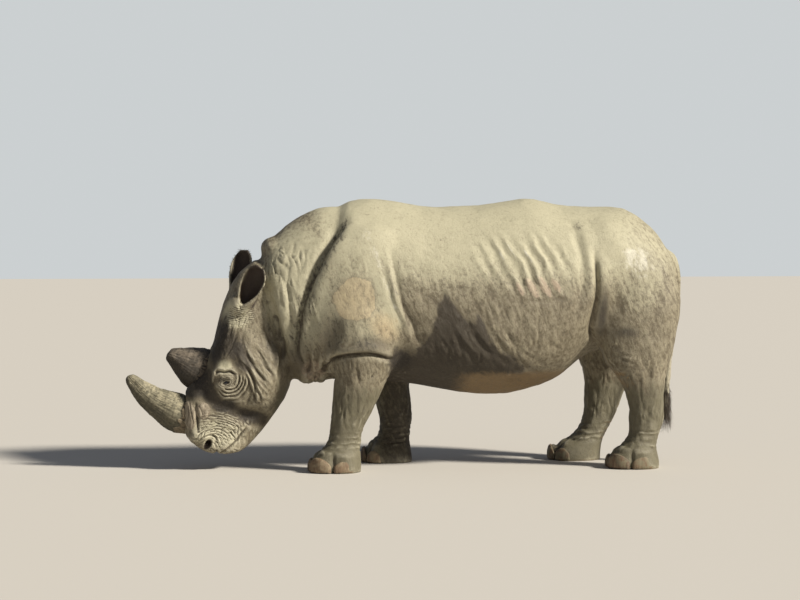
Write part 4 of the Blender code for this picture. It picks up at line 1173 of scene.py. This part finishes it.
def nail_rings(foot, side, bearing, spread, height, seed):
    """One profile carried along a stretch of the foot's rim, lower and thinner towards
    both ends, with upright ridges and a chipped lower edge by noise."""
    front, rear, inner, outer = foot
    half_x, half_y = (rear - front) / 2, (outer - inner) / 2
    along = np.sin(np.linspace(-0.5 * np.pi, 0.5 * np.pi, 60))
    angle = np.radians(bearing + spread * along)
    x = (front + rear) / 2 - half_x * signed_power(np.cos(angle), FOOT_SQUARENESS)
    y = (inner + outer) / 2 + half_y * signed_power(np.sin(angle), FOOT_SQUARENESS)
    outward = np.stack([-np.cos(angle) / half_x, np.sin(angle) / half_y], axis=1)
    outward /= np.linalg.norm(outward, axis=1)[:, None]
    taper = (1 - 0.45 * along ** 2)[:, None]
    loop = smooth_path(NAIL_PROFILE + NAIL_PROFILE[:1], 4)[:-1]
    out, up = loop.T
    spot = np.stack(np.broadcast_arrays(0.08 * along[:, None], 0.03 * up, 0.02 * out), axis=-1).reshape(-1, 3)
    shape = (len(along), len(loop))
    ridge = mottle(spot / np.array((1, 6, 1)), 0.01, seed).reshape(shape)
    lumps = mottle(spot, 0.03, seed + 1).reshape(shape)
    chips = 0.006 * np.abs(mottle(np.outer(along, (0.08, 0, 0)), 0.018, seed + 2))[:, None] * (1 - up) ** 3
    rim = np.sqrt(np.clip(1 - np.abs(along) ** 7, 0, 1))[:, None]
    deep = np.where(out > -0.2, 1, 0.8) * out * NAIL_THICKNESS * taper * np.where(out > 0, rim, 1)
    deep = deep + (0.001 * ridge + 0.0015 * lumps) * (out > 0)
    z = NAIL_CLEARANCE + chips + (up * height) * taper * (0.75 + 0.25 * rim)
    x, y = x[:, None] + outward[:, :1] * deep, side * (y[:, None] + outward[:, 1:] * deep)
    return np.stack([x, y, z], axis=-1), spot


brown = Paint("worn nail", Specular_IOR_Level=0.35)
streak = brown.noise(230.0, 4, 0.6, brown.stretched(brown.mark("lie", "Vector"), 1, 0.15, 1))
stain = brown.noise(24.0, 5, 0.6)
behind = brown.node("SeparateXYZ", None, {0: brown.place}).step(0.4, 0.6)
brown.layers(
    brown.blend(streak.step(0.35, 0.7) * 0.7, (0.13, 0.085, 0.05), (0.27, 0.185, 0.11)),
    (stain.step(0.45, 0.65) * 0.6, (0.36, 0.28, 0.18)),
    ((stain + (streak - 0.5) * 0.6).step(0.38, 0.62) * (0.35 + behind * 0.6), (0.165, 0.145, 0.09)),
    # painted shade in the nails' hollows
    (brown.mark("dip").step(0.1, 1.0) * 0.6, (0.05, 0.03, 0.02)))
brown.feed("Roughness", 0.5 + stain * 0.35)
brown.bump(streak + stain * 0.6, 0.001)
for leg, foot in FEET.items():
    side = -1 if leg.endswith("left") else 1
    for number, (place, (bearing, spread, height)) in enumerate(NAILS.items()):
        rings, spot = nail_rings(foot, side, bearing + FOOT_TURN[leg], spread, height, 80 + number)
        nail = placed(f"{leg}_{place}_nail", ring_solid(leg + place, rings))
        keep_marks(nail.data, lie=np.vstack([spot, spot[:2]]), dip=depth_marks(nail.data))
        nail.data.shade_smooth()
        brown.coat(nail)
        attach(nail, "root")
        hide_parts(f"nail_{leg}_{place}")

# ---------------------------------------------------------------- room, light and camera
stone = Paint("studio floor", Base_Color=(0.5, 0.47, 0.42, 1), Roughness=0.9)
floor = placed("floor", mesh_of("floor", 40.0 * np.array(
    ((-1, -1, 0), (1, -1, 0), (1, 1, 0), (-1, 1, 0))), np.array([(0, 1, 2, 3)])))
stone.coat(floor)

world = bpy.data.worlds.new("studio")
bpy.context.scene.world = world
world.use_nodes = True
nodes, links = world.node_tree.nodes, world.node_tree.links
nodes["Background"].inputs["Color"].default_value = (0.78, 0.85, 1.0, 1)
nodes["Background"].inputs["Strength"].default_value = 0.23
backdrop = nodes.new("ShaderNodeBackground")
backdrop.inputs["Color"].default_value = (0.6, 0.63, 0.64, 1)
seen = nodes.new("ShaderNodeMixShader")
links.new(nodes.new("ShaderNodeLightPath").outputs["Is Camera Ray"], seen.inputs[0])
links.new(nodes["Background"].outputs[0], seen.inputs[1])
links.new(backdrop.outputs[0], seen.inputs[2])
links.new(seen.outputs[0], nodes["World Output"].inputs["Surface"])

KEY_FROM = (0.72, -0.43, 0.58)
lamp = bpy.data.lights.new("key", "SUN")
lamp.energy = 6.6
lamp.angle = math.radians(8.0)
lamp.color = (1.0, 0.95, 0.86)
key = placed("key", lamp)
key.rotation_euler = Vector(KEY_FROM).to_track_quat("Z", "Y").to_euler()

CAMERA_PLACE = (-1.783, -14.094, 1.62)
CAMERA_YAW = 7.0          # degrees right of straight across
CAMERA_PITCH = 2.275      # degrees below level
CAMERA_LENS = 100.8

camera = placed("camera", bpy.data.cameras.new("camera"))
camera.data.lens = CAMERA_LENS
camera.data.sensor_width = 36
camera.data.clip_end = 200
camera.location = CAMERA_PLACE
camera.rotation_euler = (math.radians(90 - CAMERA_PITCH), 0, math.radians(-CAMERA_YAW))
bpy.context.scene.camera = camera
bpy.context.scene.view_settings.view_transform = "Standard"
